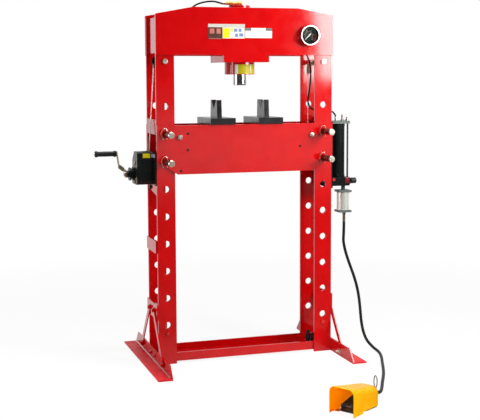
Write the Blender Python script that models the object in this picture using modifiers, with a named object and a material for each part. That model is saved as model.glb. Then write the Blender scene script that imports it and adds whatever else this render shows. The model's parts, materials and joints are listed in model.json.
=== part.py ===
"""Hydraulic shop press with winch-lifted table, air pump and foot pedal.

Metres, +Z up, front of the press at -Y. Pieces are laid out about the middle of the posts and hang on one
empty, which puts the middle of the press's footprint, crank and pedal included, at the world origin.
"""
import bpy
import bmesh
from math import atan2, ceil, cos, hypot, pi, radians, sin
from mathutils import Matrix, Vector

# Clearance left between pieces that touch, and depth by which welded-on shapes are sunk into each other
FIT = 0.0003
SINK = 0.002

# Posts: front and rear flat bars with pin holes
INNER_WIDTH = 0.760
BAR_WIDTH = 0.095
BAR_THICK = 0.012
POST_DEPTH = 0.220
BAR_FOOT = 0.001
BAR_TOP_DROP = 0.008
HOLE_COUNT = 9
HOLE_PITCH = 0.140
HOLE_FIRST = 0.205
HOLE_DIA = 0.034

# Head plates
PLATE_THICK = 0.012
HEAD_OVERHANG = 0.001
HEAD_BOTTOM = 1.582
HEAD_SIDE = 0.205
HEAD_CROWN = 0.036
HEAD_FLAT = 0.564
HEAD_TAB_WIDTH = 0.244
HEAD_TAB_DROP = 0.036
END_PLATE_INSET = 0.012
END_PLATE_THICK = 0.010
END_PLATE_MARGIN = 0.008

# Cylinder mounting box inside the head
BOX_WALL = 0.012
BOX_HEIGHT = 0.154
DECK_THICK = 0.020

# Hydraulic cylinder, hung on a collar on the upper deck
BARREL_DIA = 0.157
BORE_DIA = 0.120
BARREL_DROP = 0.062
BARREL_RISE = 0.090
COLLAR_DIA = 0.185
COLLAR_THICK = 0.022
GLAND_THICK = 0.026
GLAND_RECESS = 0.004
RAM_DIA = 0.072
RAM_SHOWN = 0.056
RAM_CHAMFER = 0.003
PISTON_THICK = 0.040
PISTON_HEADROOM = 0.010
SEAL_GROOVE = 0.006
SEAL_THICK = 0.010
CAP_DIA = 0.112
CAP_RISE = 0.050
CAP_PLUG = 0.012

# Brass elbow and hydraulic hose
ELBOW_DIA = 0.019
ELBOW_NUT = 0.024
ELBOW_LENGTH = 0.088
ELBOW_TAIL = 0.013
OIL_HOSE_DIA = 0.009

# Pressure gauge on the head
GAUGE_INSET = 0.043
GAUGE_RISE = 0.102
GAUGE_DIA = 0.105
GAUGE_DEPTH = 0.034
GAUGE_WALL = 0.003
GAUGE_BACK = 0.006
GAUGE_STEM_DIA = 0.020
GAUGE_STEM = 0.030
DIAL_THICK = 0.002
NEEDLE_LENGTH = 0.036
NEEDLE_TAIL = 0.014
NEEDLE_WIDTH = 0.004
NEEDLE_THICK = 0.0012
NEEDLE_GAP = 0.003
NEEDLE_REST = radians(225)
LENS_THICK = 0.002
LENS_INSET = 0.004

# Tie plates between the bars of a post, by height of their lower edge
TIE_HEIGHT = 0.076
TIE_THICK = 0.008
UPPER_TIE_Z = 1.183
LOWER_TIE_Z = 0.578
LOWER_TIE_HEIGHT = 0.064
LOWER_TIE_LAP = 0.003
BRACE_TIE_Z = 0.236

# Feet, braces and bottom beam
FOOT_LENGTH = 0.820
FOOT_LEG = 0.075
FOOT_HEIGHT = 0.068
FOOT_THICK = 0.008
FOOT_CHAMFER = 0.054
BRACE_WIDTH = 0.028
BRACE_THICK = 0.006
BRACE_TOP_Y = 0.045
BRACE_FOOT_Y = 0.236
BRACE_FOOT_Z = 0.036
BEAM_HEIGHT = 0.045
BEAM_CLEAR = 0.011
BEAM_WALL = 0.008
BEAM_BOLT_INSET = 0.020
BEAM_BOLT_Y = 0.034
FOOT_BOLT_Y = 0.040
FOOT_BOLT_Z = 0.034
BOLT_HEAD = 0.020
BOLT_HEIGHT = 0.008
POST_BOLT_DROP = 0.042
POST_BOLT_HEAD = 0.018
POST_BOLT_HEIGHT = 0.006
BEAM_BOLT_HEAD = 0.030
BEAM_BOLT_HEIGHT = 0.022
BEAM_SLEEVE = 0.024
BEAM_SLEEVE_HEIGHT = 0.026

# Table: plates on the outside of the bars, with webs, tie rods and rope rollers between them
TABLE_RISE = 0.044
TABLE_HEIGHT = 0.249
TABLE_CHAMFER_X = 0.107
TABLE_CHAMFER_Z = 0.070
WEB_INSET = 0.066
WEB_THICK = 0.012
WEB_HEIGHT = 0.150
WEB_DROP = 0.012
TIE_ROD_INSET = 0.023
TIE_ROD_DROP = 0.060
TIE_ROD_DIA = 0.016
TIE_NUT = 0.026
TIE_NUT_THICK = 0.011
TIE_ROD_TIP = 0.004
ROLLER_INSET = 0.028
ROLLER_RISE = 0.030
ROLLER_DIA = 0.056
ROLLER_WIDTH = 0.030
ROLLER_PIN_DIA = 0.012
PIN_HOLES = (6, 7)
PIN_DIA = 0.0332
PIN_FRONT = 0.233
PIN_REAR = 0.152
PIN_CHAMFER = 0.003
CLIP_WIRE = 0.0036
CLIP_Y = 0.016
CLIP_LENGTH = 0.050
CLIP_BOW = 0.012

# V-blocks on the table
BLOCK_X = 0.129
BLOCK_WIDTH = 0.134
BLOCK_LENGTH = 0.260
BLOCK_BASE = 0.033
BLOCK_WEB = 0.026
BLOCK_WEB_LENGTH = 0.126
BLOCK_WEB_TAPER = 0.006
BLOCK_HEIGHT = 0.124
NOTCH_WIDTH = 0.084
NOTCH_DEPTH = 0.048

# Rope, head pulley and rope anchor
ROPE_DIA = 0.006
PULLEY_DROP = 0.032
PULLEY_CLEAR = 0.003
PULLEY_DIA = 0.080
PULLEY_WIDTH = 0.024
PULLEY_GROOVE = 0.0115
GROOVE_SLACK = 0.001
AXLE_DIA = 0.016
AXLE_HEAD = 0.028
AXLE_HEIGHT = 0.011
SLEEVE_RATIO = 1.5
ANCHOR_EYE = 0.034
ANCHOR_WIDTH = 0.024
ANCHOR_DROP = 0.030
CLAMP_LENGTH = 0.036

# Winch on the outer side of the left post; its shafts run along X
WINCH_Z = 0.925
WINCH_PLATE_HEIGHT = 0.166
WINCH_PLATE_THICK = 0.008
BACKING_DROP = 0.052
BACKING_REAR_Y = 0.060
WINCH_DEPTH = 0.077
WINCH_SIDE = 0.005
WINCH_RISE = 0.171
WINCH_FRONT_Y = -0.060
WINCH_REAR_Y = 0.056
WINCH_HEEL_Y = 0.075
WINCH_HEEL_RISE = 0.075
WINCH_SLOPE = 0.046
WINCH_TOE = 0.020
WINCH_EDGE = 0.008
COVER_WALL = 0.003
ROPE_SLOT = 0.026
DRUM_Y = -0.004
DRUM_RISE = 0.110
DRUM_DIA = 0.050
DRUM_FLANGE_DIA = 0.090
DRUM_LENGTH = 0.044
DRUM_SHAFT_DIA = 0.016
DRUM_SHAFT_TIP = 0.004
FLANGE_THICK = 0.003
GEAR_TEETH = 42
GEAR_DIA = 0.0974
GEAR_THICK = 0.008
TOOTH_DEPTH = 0.004
CRANK_Y = 0.026
CRANK_RISE = 0.053
PINION_TEETH = 12
PINION_DIA = 0.030
CRANK_SHAFT_DIA = 0.014
BRAKE_DIA = 0.068
RATCHET_DIA = 0.052
BRAKE_THICK = 0.008
HUB_DIA = 0.036
HUB_LENGTH = 0.012
SPACER_DIA = 0.010
CRANK_REACH_Y = 0.078
CRANK_REACH_Z = 0.100
CRANK_OFFSET = 0.030
CRANK_BEND = 0.38
CRANK_THICK = 0.006
CRANK_WIDTH = 0.020
CRANK_HUB_RADIUS = 0.019
SPINDLE_DIA = 0.012
SPINDLE_TIP = 0.004
CRANK_NUT = 0.008
CRANK_NUT_RATIO = 0.7
GRIP_LENGTH = 0.112
GRIP_DIA = 0.026
GRIP_FLARE = 0.033
GRIP_STANDOFF = 0.001

# Air pump on the outer side of the right post
PUMP_PLATE_THICK = 0.008
PUMP_PLATE_Z = 0.880
PUMP_PLATE_HEIGHT = 0.356
PUMP_GAP = 0.0347
PUMP_BASE_RISE = 0.003
PUMP_BASE_HEIGHT = 0.047
PUMP_TOP_THICK = 0.015
PUMP_OVERHANG = 0.018
PUMP_DEPTH = 0.080
RESERVOIR_DIA = 0.076
RESERVOIR_HEIGHT = 0.289
ROD_INSET = 0.008
ROD_DIA = 0.010
ROD_Y = -0.024
STUD_RISE = 0.020
CENTRE_STUD_RISE = 0.034
CENTRE_STUD_OFFSET = 0.016
ROD_NUT = 0.018
ROD_NUT_THICK = 0.008
VALVE_WIDTH = 0.034
VALVE_LENGTH = 0.016
KNOB_DIA = 0.032
KNOB_LENGTH = 0.036
KNOB_SHANK_DIA = 0.010
KNOB_SHANK = 0.006
MOTOR_OFFSET = 0.034
MOTOR_DIA = 0.066
MOTOR_LENGTH = 0.121
MOTOR_END = 0.072
MOTOR_END_THICK = 0.011
MOTOR_NECK = 0.026
MOTOR_NECK_DIA = 0.022
BARB_DIA = 0.0155
BARB_NUT = 0.019
BARB_LENGTH = 0.038
MOTOR_BARB_LENGTH = 0.054
BARB_OFFSET = 0.006

# Foot pedal, standing on the floor in front of the press
PEDAL_X = 0.1801
PEDAL_Y = -1.0994
PEDAL_TURN = radians(31.9)
PEDAL_LENGTH = 0.213
PEDAL_WIDTH = 0.112
PEDAL_FRONT_HEIGHT = 0.123
PEDAL_REAR_HEIGHT = 0.091
GUARD_WALL = 0.003
GUARD_ROUND = 0.028
GUARD_FOOT = 0.0005
COLLAR_OUT = 0.010
COLLAR_NOTCH = 0.004
GUARD_LIFT = 0.006
SILL_BACK = 0.034
SILL_TOP = 0.003
COLLAR_LENGTH = 0.074
GUARD_STEP = 0.005
GUARD_REAR_ROUND = 0.012
PEDAL_FLOOR = 0.010
PEDAL_MARGIN = 0.0005
PEDAL_LIP = 0.048
TONGUE_WIDTH = 0.076
TONGUE_LENGTH = 0.070
TREADLE_PIVOT_INSET = 0.012
TREADLE_PIVOT_Z = 0.024
TREADLE_LENGTH = 0.104
TREADLE_HEEL = 0.008
TREADLE_SIDE = 0.001
TREADLE_THICK = 0.007
TREADLE_TILT = radians(14)
TREADLE_KNUCKLE_DIA = 0.015
KNUCKLE_WIDTH = 0.012
PIVOT_DIA = 0.008
EAR_WIDTH = 0.006
EAR_LENGTH = 0.020
SPRING_WIRE = 0.0014
SPRING_TURNS = 6
SPRING_POINTS = 8
SPRING_LENGTH = 0.030
VALVE_BOX_LENGTH = 0.028
VALVE_BOX_WIDTH = 0.050
VALVE_BOX_HEIGHT = 0.050
PEDAL_PORT_Z = 0.040

# Free air hose from the pump to the pedal
AIR_HOSE_DIA = 0.0155

# Worked-out places
POST_X = INNER_WIDTH / 2 + BAR_WIDTH / 2
OUTER_X = INNER_WIDTH / 2 + BAR_WIDTH
FRAME_Y = POST_DEPTH / 2
BAR_Y = FRAME_Y - BAR_THICK / 2
BAR_INSIDE_Y = FRAME_Y - BAR_THICK
PLATE_Y = FRAME_Y + FIT + PLATE_THICK / 2
PLATE_FACE_Y = FRAME_Y + FIT + PLATE_THICK
HEAD_SHOULDER = HEAD_BOTTOM + HEAD_SIDE
HEAD_TOP = HEAD_SHOULDER + HEAD_CROWN
BAR_TOP = HEAD_SHOULDER - BAR_TOP_DROP
PULLEY_Z = HEAD_BOTTOM - PULLEY_DROP
BOX_X = HEAD_TAB_WIDTH / 2
BOX_BOTTOM = HEAD_BOTTOM - HEAD_TAB_DROP
BOX_TOP = BOX_BOTTOM + BOX_HEIGHT
BARREL_BOTTOM = BOX_BOTTOM - BARREL_DROP
BARREL_TOP = BOX_TOP + BARREL_RISE
CAP_TOP = BARREL_TOP + CAP_RISE
RAM_BOTTOM = BARREL_BOTTOM - RAM_SHOWN
PISTON_TOP = BARREL_TOP - CAP_PLUG - PISTON_HEADROOM
PISTON_BOTTOM = PISTON_TOP - PISTON_THICK
ELBOW_Z = CAP_TOP + FIT + ELBOW_NUT / 2
GAUGE_X = INNER_WIDTH / 2 - GAUGE_INSET
GAUGE_Y = -PLATE_FACE_Y - FIT
GAUGE_Z = HEAD_BOTTOM + GAUGE_RISE
BEAM_BOLT_X = INNER_WIDTH / 2 + BEAM_BOLT_INSET
WEB_X = INNER_WIDTH / 2 - WEB_INSET
TIE_ROD_X = INNER_WIDTH / 2 - TIE_ROD_INSET
ROLLER_X = INNER_WIDTH / 2 - ROLLER_INSET
TABLE_TOP = HOLE_FIRST + HOLE_PITCH * PIN_HOLES[1] + TABLE_RISE
TABLE_BOTTOM = TABLE_TOP - TABLE_HEIGHT
ROLLER_Z = TABLE_BOTTOM + ROLLER_RISE
ROPE_X = ROLLER_X + ROLLER_DIA / 2 + ROPE_DIA / 2 + FIT
WINCH_TOP = WINCH_Z + WINCH_RISE
DRUM_Z = WINCH_Z + DRUM_RISE
CRANK_Z = WINCH_Z + CRANK_RISE
ROPE_Y = DRUM_Y - DRUM_DIA / 2 - ROPE_DIA / 2 - FIT
WINCH_X = -OUTER_X - FIT - WINCH_PLATE_THICK
WINCH_OUT_X = WINCH_X - WINCH_DEPTH
DRUM_IN_X = WINCH_X - 0.004
GEAR_X = DRUM_IN_X - FLANGE_THICK - DRUM_LENGTH - SINK / 2
BRAKE_X = WINCH_OUT_X - WINCH_SIDE - 0.001
HUB_X = BRAKE_X - 3 * BRAKE_THICK
ARM_X = HUB_X - HUB_LENGTH - FIT - CRANK_THICK / 2
CRANK_TIP_Y = CRANK_Y + CRANK_REACH_Y
CRANK_TIP_Z = CRANK_Z + CRANK_REACH_Z
PUMP_IN_X = OUTER_X + FIT + PUMP_PLATE_THICK
PUMP_X = PUMP_IN_X + PUMP_GAP + RESERVOIR_DIA / 2
PUMP_REACH = PUMP_X + RESERVOIR_DIA / 2 + PUMP_OVERHANG
PUMP_BASE_Z = PUMP_PLATE_Z + PUMP_BASE_RISE
PUMP_TOP_Z = PUMP_BASE_Z + PUMP_BASE_HEIGHT + RESERVOIR_HEIGHT
PUMP_OUT_Z = PUMP_TOP_Z + PUMP_TOP_THICK
ROD_X = PUMP_REACH - ROD_INSET
CENTRE_STUD_X = PUMP_X + CENTRE_STUD_OFFSET
MOTOR_X = PUMP_X + MOTOR_OFFSET
MOTOR_TOP = PUMP_BASE_Z - MOTOR_NECK
MOTOR_BOTTOM = MOTOR_TOP - MOTOR_LENGTH
HOSE_X = MOTOR_X + BARB_OFFSET
HOSE_TOP = MOTOR_BOTTOM - MOTOR_BARB_LENGTH - FIT
TREADLE_PIVOT_X = -PEDAL_LENGTH / 2 + PEDAL_LIP + TREADLE_PIVOT_INSET
VALVE_REAR = PEDAL_LENGTH / 2 - GUARD_WALL - PEDAL_MARGIN - 0.004
HOSE_END = VALVE_REAR + BARB_LENGTH + FIT
HOSE_LEAD = HOSE_END + 2 * AIR_HOSE_DIA

# Hydraulic hose: out of the elbow, back into the head, down inside the right post and out to the pump
OIL_HOSE_ROUTE = [
    (ELBOW_TAIL - ELBOW_LENGTH - FIT, 0.0, ELBOW_Z), (-0.102, 0.0, ELBOW_Z), (-0.140, 0.002, ELBOW_Z + 0.008),
    (-0.185, 0.006, ELBOW_Z + 0.004), (-0.228, 0.012, ELBOW_Z - 0.010), (-0.262, 0.022, ELBOW_Z - 0.037),
    (-0.278, 0.038, ELBOW_Z - 0.070), (-0.264, 0.060, ELBOW_Z - 0.095), (-0.225, 0.080, ELBOW_Z - 0.104),
    (-0.160, 0.094, ELBOW_Z - 0.106), (-0.080, 0.098, ELBOW_Z - 0.106), (0.0, 0.098, ELBOW_Z - 0.106),
    (0.080, 0.098, ELBOW_Z - 0.106), (0.160, 0.093, ELBOW_Z - 0.112), (0.235, 0.076, ELBOW_Z - 0.132),
    (POST_X - 0.128, 0.048, ELBOW_Z - 0.168), (POST_X - 0.080, 0.014, ELBOW_Z - 0.218),
    (POST_X - 0.052, -0.020, ELBOW_Z - 0.280), (POST_X - 0.045, -0.038, PUMP_OUT_Z + 0.285),
    (POST_X - 0.0465, -0.046, PUMP_OUT_Z + 0.235), (POST_X - 0.052, -0.048, PUMP_OUT_Z + 0.185),
    (POST_X - 0.059, -0.047, PUMP_OUT_Z + 0.143), (POST_X - 0.061, -0.044, PUMP_OUT_Z + 0.113),
    (POST_X - 0.053, -0.038, PUMP_OUT_Z + 0.087), (POST_X - 0.0345, -0.029, PUMP_OUT_Z + 0.069),
    (POST_X - 0.0095, -0.018, PUMP_OUT_Z + 0.061), (OUTER_X - 0.029, -0.008, PUMP_OUT_Z + 0.0585),
    (OUTER_X - 0.001, -0.002, PUMP_OUT_Z + 0.0575), (PUMP_X - 0.056, 0.0, PUMP_OUT_Z + 0.056),
    (PUMP_X - 0.032, 0.0, PUMP_OUT_Z + 0.049), (PUMP_X - 0.0155, 0.0, PUMP_OUT_Z + 0.0325),
    (PUMP_X - 0.009, 0.0, PUMP_OUT_Z + 0.0105), (PUMP_X - 0.009, 0.0, PUMP_OUT_Z + FIT),
]

# Air hose: hangs from the pump, lands beside the right foot and lies on the floor to the pedal
AIR_HOSE_ROUTE = [
    (HOSE_X, 0.0, HOSE_TOP), (HOSE_X, 0.0, HOSE_TOP - 0.030), (HOSE_X - 0.002, -0.002, 0.615),
    (0.592, -0.005, 0.575), (0.598, -0.012, 0.530), (0.610, -0.020, 0.482), (0.625, -0.030, 0.432),
    (0.639, -0.040, 0.386), (0.649, -0.052, 0.340), (0.655, -0.065, 0.293), (0.657, -0.078, 0.246),
    (0.657, -0.090, 0.200), (0.656, -0.106, 0.147), (0.660, -0.124, 0.094), (0.672, -0.144, 0.050),
    (0.692, -0.176, 0.018), (0.698, -0.220, 0.0090), (0.686, -0.280, 0.0081), (0.660, -0.355, 0.0081),
    (0.624, -0.440, 0.0081), (0.586, -0.530, 0.0081), (0.546, -0.620, 0.0081), (0.506, -0.700, 0.0081),
    (0.466, -0.776, 0.0081), (0.428, -0.850, 0.0084), (0.396, -0.908, 0.0112), (0.366, -0.952, 0.0188),
    (0.344, -0.984, 0.0300),
    (PEDAL_X + HOSE_LEAD * cos(PEDAL_TURN), PEDAL_Y + HOSE_LEAD * sin(PEDAL_TURN), PEDAL_PORT_Z),
    (PEDAL_X + HOSE_END * cos(PEDAL_TURN), PEDAL_Y + HOSE_END * sin(PEDAL_TURN), PEDAL_PORT_Z),
]


for old in list(bpy.data.objects):
    bpy.data.objects.remove(old, do_unlink=True)


def new_collection(name):
    group = bpy.data.collections.new(name)
    bpy.context.scene.collection.children.link(group)
    return group


PARTS = new_collection("shop_press")
CUTTERS = new_collection("cutters")


def new_empty(name, parent=None):
    empty = bpy.data.objects.new(name, None)
    PARTS.objects.link(empty)
    empty.parent = parent
    return empty


ROOT = new_empty("press_middle")
PEDAL = new_empty("pedal_middle", ROOT)
PEDAL.location = (PEDAL_X, PEDAL_Y, 0.0)
PEDAL.rotation_euler = (0.0, 0.0, PEDAL_TURN)


def finish(name, colour, roughness, metallic):
    material = bpy.data.materials.new(name)
    material.use_nodes = True
    shader = material.node_tree.nodes["Principled BSDF"]
    shader.inputs["Base Color"].default_value = (*colour, 1.0)
    shader.inputs["Roughness"].default_value = roughness
    shader.inputs["Metallic"].default_value = metallic
    return material


RED = finish("red_paint", (0.54, 0.008, 0.010), 0.30, 0.0)
BLACK = finish("black_paint", (0.016, 0.020, 0.018), 0.40, 0.0)
BLOCK_STEEL = finish("blackened_steel", (0.030, 0.033, 0.036), 0.50, 0.6)
ZINC = finish("zinc_plate", (0.72, 0.69, 0.60), 0.35, 0.9)
CHROME = finish("chromed_steel", (0.80, 0.80, 0.82), 0.12, 1.0)
BRASS = finish("brass", (0.72, 0.42, 0.14), 0.30, 1.0)
RUBBER = finish("black_rubber", (0.013, 0.013, 0.014), 0.60, 0.0)
GREY_CAST = finish("grey_cast", (0.24, 0.27, 0.25), 0.50, 0.3)
SILVER = finish("silver_can", (0.62, 0.63, 0.58), 0.32, 0.9)
YELLOW = finish("yellow_plastic", (1.0, 0.38, 0.0), 0.40, 0.0)
DIAL_BLACK = finish("dial_black", (0.010, 0.010, 0.012), 0.50, 0.0)
WHITE = finish("needle_white", (0.85, 0.85, 0.83), 0.45, 0.0)
GLASS = finish("gauge_glass", (0.90, 0.93, 0.94), 0.05, 0.0)
STEEL = finish("plain_steel", (0.45, 0.44, 0.42), 0.35, 1.0)


def put(name, data, coat, location=(0.0, 0.0, 0.0), rotation=(0.0, 0.0, 0.0), parent=ROOT):
    """One named node under the press's empty."""
    data.materials.append(coat)
    node = bpy.data.objects.new(name, data)
    PARTS.objects.link(node)
    node.parent = parent
    node.location = location
    node.rotation_euler = rotation
    return node


def put_mesh(name, shape, coat, location=(0.0, 0.0, 0.0), rotation=(0.0, 0.0, 0.0), parent=ROOT):
    """A node from a bmesh, shaded smooth but for its sharp edges."""
    bmesh.ops.recalc_face_normals(shape, faces=shape.faces[:])
    mesh = bpy.data.meshes.new(name)
    shape.to_mesh(mesh)
    shape.free()
    mesh.shade_smooth()
    mesh.set_sharp_from_angle(angle=radians(35))
    return put(name, mesh, coat, location, rotation, parent)


def along(base, axis):
    """Frame whose z runs along an axis from a base point."""
    turn = Vector((0.0, 0.0, 1.0)).rotation_difference(Vector(axis))
    return Matrix.Translation(base) @ turn.to_matrix().to_4x4()


def add_box(shape, low, high):
    low = Vector(low)
    high = Vector(high)
    size = Matrix.Diagonal((*(high - low), 1.0))
    bmesh.ops.create_cube(shape, size=1.0, matrix=Matrix.Translation((low + high) / 2) @ size)


def add_stepped(shape, base, axis, steps, sides):
    """A stepped round or hexagonal body: (height, radius) steps along an axis, extruded one after another."""
    ring = bmesh.ops.create_circle(shape, cap_ends=True, radius=steps[0][1], segments=sides)["verts"]
    body = list(ring)
    for vert in ring:
        vert.co.z = steps[0][0]
    bottom = ring[0].link_faces[0]
    cap = bottom
    for (_, radius), (height, next_radius) in zip(steps, steps[1:]):
        grown = bmesh.ops.extrude_face_region(shape, geom=[cap])["geom"]
        if cap is not bottom:
            bmesh.ops.delete(shape, geom=[cap], context="FACES_ONLY")
        ring = [item for item in grown if isinstance(item, bmesh.types.BMVert)]
        cap = [item for item in grown if isinstance(item, bmesh.types.BMFace)][0]
        for vert in ring:
            vert.co.x *= next_radius / radius
            vert.co.y *= next_radius / radius
            vert.co.z = height
        body.extend(ring)
    bmesh.ops.transform(shape, matrix=along(base, axis), verts=body)


def add_round(shape, base, axis, length, diameter, sides=20):
    add_stepped(shape, base, axis, [(0.0, diameter / 2), (length, diameter / 2)], sides)


def add_bolt(shape, seat, axis, head=BOLT_HEAD, height=BOLT_HEIGHT):
    """A hexagon bolt head standing on its seat along an axis, its root sunk into the plate below."""
    add_stepped(shape, seat, axis, [(-SINK, head / 2), (height, head / 2)], 6)


def circle(centre_a, centre_b, diameter, points):
    """Points round a circle, for an outline or a hole."""
    turns = [2 * pi * step / points for step in range(points)]
    return [(centre_a + diameter / 2 * cos(turn), centre_b + diameter / 2 * sin(turn)) for turn in turns]


def arc(centre_a, centre_b, radius, start, end, points):
    turns = [start + (end - start) * step / (points - 1) for step in range(points)]
    return [(centre_a + radius * cos(turn), centre_b + radius * sin(turn)) for turn in turns]


def toothed(diameter, teeth, depth):
    """Outline of a simple gear: flat-topped teeth of a given depth."""
    points = []
    for step in range(4 * teeth):
        turn = 2 * pi * step / (4 * teeth)
        radius = diameter / 2 - (depth if step % 4 > 1 else 0.0)
        points.append((radius * cos(turn), radius * sin(turn)))
    return points


UPRIGHT_XZ = (pi / 2, 0.0, 0.0)
UPRIGHT_YZ = (pi / 2, 0.0, pi / 2)


def outline_curve(name, outlines, thick):
    """A flat filled curve, extruded to a plate; outlines after the first are its holes."""
    curve = bpy.data.curves.new(name, "CURVE")
    curve.dimensions = "2D"
    curve.fill_mode = "BOTH"
    curve.extrude = thick / 2
    for outline in outlines:
        spline = curve.splines.new("POLY")
        spline.points.add(len(outline) - 1)
        for point, (a, b) in zip(spline.points, outline):
            point.co = (a, b, 0.0, 1.0)
        spline.use_cyclic_u = True
    return curve


def put_plate(name, outlines, thick, coat, location, rotation, parent=ROOT):
    return put(name, outline_curve(name, outlines, thick), coat, location, rotation, parent)


def add_curve(shape, curve, frame):
    """Add a curve's solid to a larger mesh as a closed body of its own."""
    guide = bpy.data.objects.new("guide", curve)
    bpy.context.scene.collection.objects.link(guide)
    bpy.context.view_layer.update()
    mesh = bpy.data.meshes.new_from_object(guide.evaluated_get(bpy.context.evaluated_depsgraph_get()))
    mesh.transform(frame)
    before = len(shape.verts)
    shape.from_mesh(mesh)
    shape.verts.ensure_lookup_table()
    bmesh.ops.remove_doubles(shape, verts=shape.verts[before:], dist=1e-6)
    bpy.data.objects.remove(guide)


def add_plate(shape, outlines, thick, location, rotation):
    """The same plate as a closed body of a larger mesh."""
    turn = Matrix.Rotation(rotation[2], 4, "Z") @ Matrix.Rotation(rotation[0], 4, "X")
    add_curve(shape, outline_curve("plate_outline", outlines, thick), Matrix.Translation(location) @ turn)


def put_turned(name, profile, coat, location, rotation=(0.0, 0.0, 0.0), steps=32, closed=False, parent=ROOT):
    """A turned piece: (radius, height) points about local z, outer side top to bottom."""
    mesh = bpy.data.meshes.new(name)
    count = len(profile)
    edges = [(step, step + 1) for step in range(count - 1)]
    if closed:
        edges.append((count - 1, 0))
    mesh.from_pydata([(radius, 0.0, height) for radius, height in profile], edges, [])
    node = put(name, mesh, coat, location, rotation, parent)
    screw = node.modifiers.new("turn", "SCREW")
    screw.axis = "Z"
    screw.steps = steps
    screw.render_steps = steps
    screw.use_merge_vertices = True
    screw.merge_threshold = 0.00001
    screw.use_smooth_shade = False
    return node


def smooth_route(route, spacing):
    """Points every spacing or so along a smooth curve through a route's own points."""
    ends = [2 * Vector(route[0]) - Vector(route[1]), 2 * Vector(route[-1]) - Vector(route[-2])]
    knots = [ends[0]] + [Vector(point) for point in route] + [ends[1]]
    points = [knots[1]]
    for a, b, c, d in zip(knots, knots[1:], knots[2:], knots[3:]):
        pieces = max(1, ceil((c - b).length / spacing))
        for piece in range(1, pieces + 1):
            t = piece / pieces
            bend = 2 * b + (c - a) * t + (2 * a - 5 * b + 4 * c - d) * t * t
            points.append((bend + (3 * b - 3 * c + d - a) * t ** 3) / 2)
    return points


def tube_curve(name, points, diameter, sides_level):
    """A tube or wire: a polyline curve with a round bevel and filled ends."""
    curve = bpy.data.curves.new(name, "CURVE")
    curve.dimensions = "3D"
    curve.bevel_depth = diameter / 2
    curve.bevel_resolution = sides_level
    curve.use_fill_caps = True
    spline = curve.splines.new("POLY")
    spline.points.add(len(points) - 1)
    for point, place in zip(spline.points, points):
        point.co = (*place, 1.0)
    return curve


def put_tube(name, points, diameter, coat, sides_level=2, parent=ROOT):
    return put(name, tube_curve(name, points, diameter, sides_level), coat, parent=parent)


def work(node, tool_shape, operation):
    """Cut a tool out of a node or weld it on; the tool stays as a wire guide in the node's own frame."""
    bmesh.ops.recalc_face_normals(tool_shape, faces=tool_shape.faces[:])
    mesh = bpy.data.meshes.new(node.name + "_tool")
    tool_shape.to_mesh(mesh)
    tool_shape.free()
    tool = bpy.data.objects.new(node.name + "_tool", mesh)
    CUTTERS.objects.link(tool)
    tool.parent = node.parent
    tool.location = node.location
    tool.rotation_euler = node.rotation_euler
    tool.hide_render = True
    tool.display_type = "WIRE"
    boolean = node.modifiers.new(operation.lower(), "BOOLEAN")
    boolean.operation = operation
    boolean.object = tool


def cut(node, tool_shape):
    work(node, tool_shape, "DIFFERENCE")


def weld(node, tool_shape):
    work(node, tool_shape, "UNION")


def hole_heights():
    return [HOLE_FIRST + HOLE_PITCH * step for step in range(HOLE_COUNT)]


def rectangle(low_a, low_b, high_a, high_b):
    return [(low_a, low_b), (high_a, low_b), (high_a, high_b), (low_a, high_b)]


SIDES = (("left", -1), ("right", 1))
FACES = (("front", -1), ("rear", 1))


def make_posts():
    """Each post is two flat bars with rows of pin holes, welded to tie plates and to the head's end plate."""
    for side, sign in SIDES:
        shape = bmesh.new()
        outline = rectangle(-BAR_WIDTH / 2, BAR_FOOT, BAR_WIDTH / 2, BAR_TOP)
        holes = [circle(0.0, height, HOLE_DIA, 20) for height in hole_heights()]
        holes.append(circle(0.0, PULLEY_Z, AXLE_DIA + 2 * FIT, 16))
        for face, depth in FACES:
            add_plate(shape, [outline] + holes, BAR_THICK, (0.0, depth * BAR_Y, 0.0), UPRIGHT_XZ)
        post = put_mesh(f"post_{side}", shape, RED, (sign * POST_X, 0.0, 0.0))
        weld_ties(post, sign)


def weld_ties(post, sign):
    ties = bmesh.new()
    edge = BAR_INSIDE_Y + SINK
    outside = BAR_WIDTH / 2
    low_x, high_x = sorted((sign * (outside - FIT), sign * (outside - TIE_THICK)))
    add_box(ties, (low_x, -edge, UPPER_TIE_Z), (high_x, edge, UPPER_TIE_Z + TIE_HEIGHT))
    low_x, high_x = sorted((sign * (outside - SINK), sign * (outside + FIT + FOOT_THICK)))
    wide = FRAME_Y - FIT
    add_box(ties, (low_x, -wide, BRACE_TIE_Z), (high_x, wide, BRACE_TIE_Z + TIE_HEIGHT))
    if sign < 0:
        wide = BAR_INSIDE_Y + LOWER_TIE_LAP
        add_box(ties, (low_x, -wide, LOWER_TIE_Z), (high_x, wide, LOWER_TIE_Z + LOWER_TIE_HEIGHT))
        top = WINCH_Z + WINCH_PLATE_HEIGHT / 2
        backing = [
            (-edge, WINCH_Z - BACKING_DROP), (BACKING_REAR_Y, WINCH_Z - BACKING_DROP / 2),
            (BACKING_REAR_Y, top), (-edge, top),
        ]
        add_plate(ties, [backing], TIE_THICK, (sign * (outside - FIT - TIE_THICK / 2), 0.0, 0.0), UPRIGHT_YZ)
    end = outside - END_PLATE_INSET
    low_x, high_x = sorted((sign * end, sign * (end - END_PLATE_THICK)))
    low_z = PULLEY_Z + PULLEY_DIA / 2 + PULLEY_CLEAR
    add_box(ties, (low_x, -edge, low_z), (high_x, edge, BAR_TOP - END_PLATE_MARGIN))
    for depth in (-1, 1):
        seat = (0.0, depth * FRAME_Y, HOLE_FIRST - POST_BOLT_DROP)
        add_bolt(ties, seat, (0.0, depth, 0.0), POST_BOLT_HEAD, POST_BOLT_HEIGHT)
    weld(post, ties)


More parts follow.
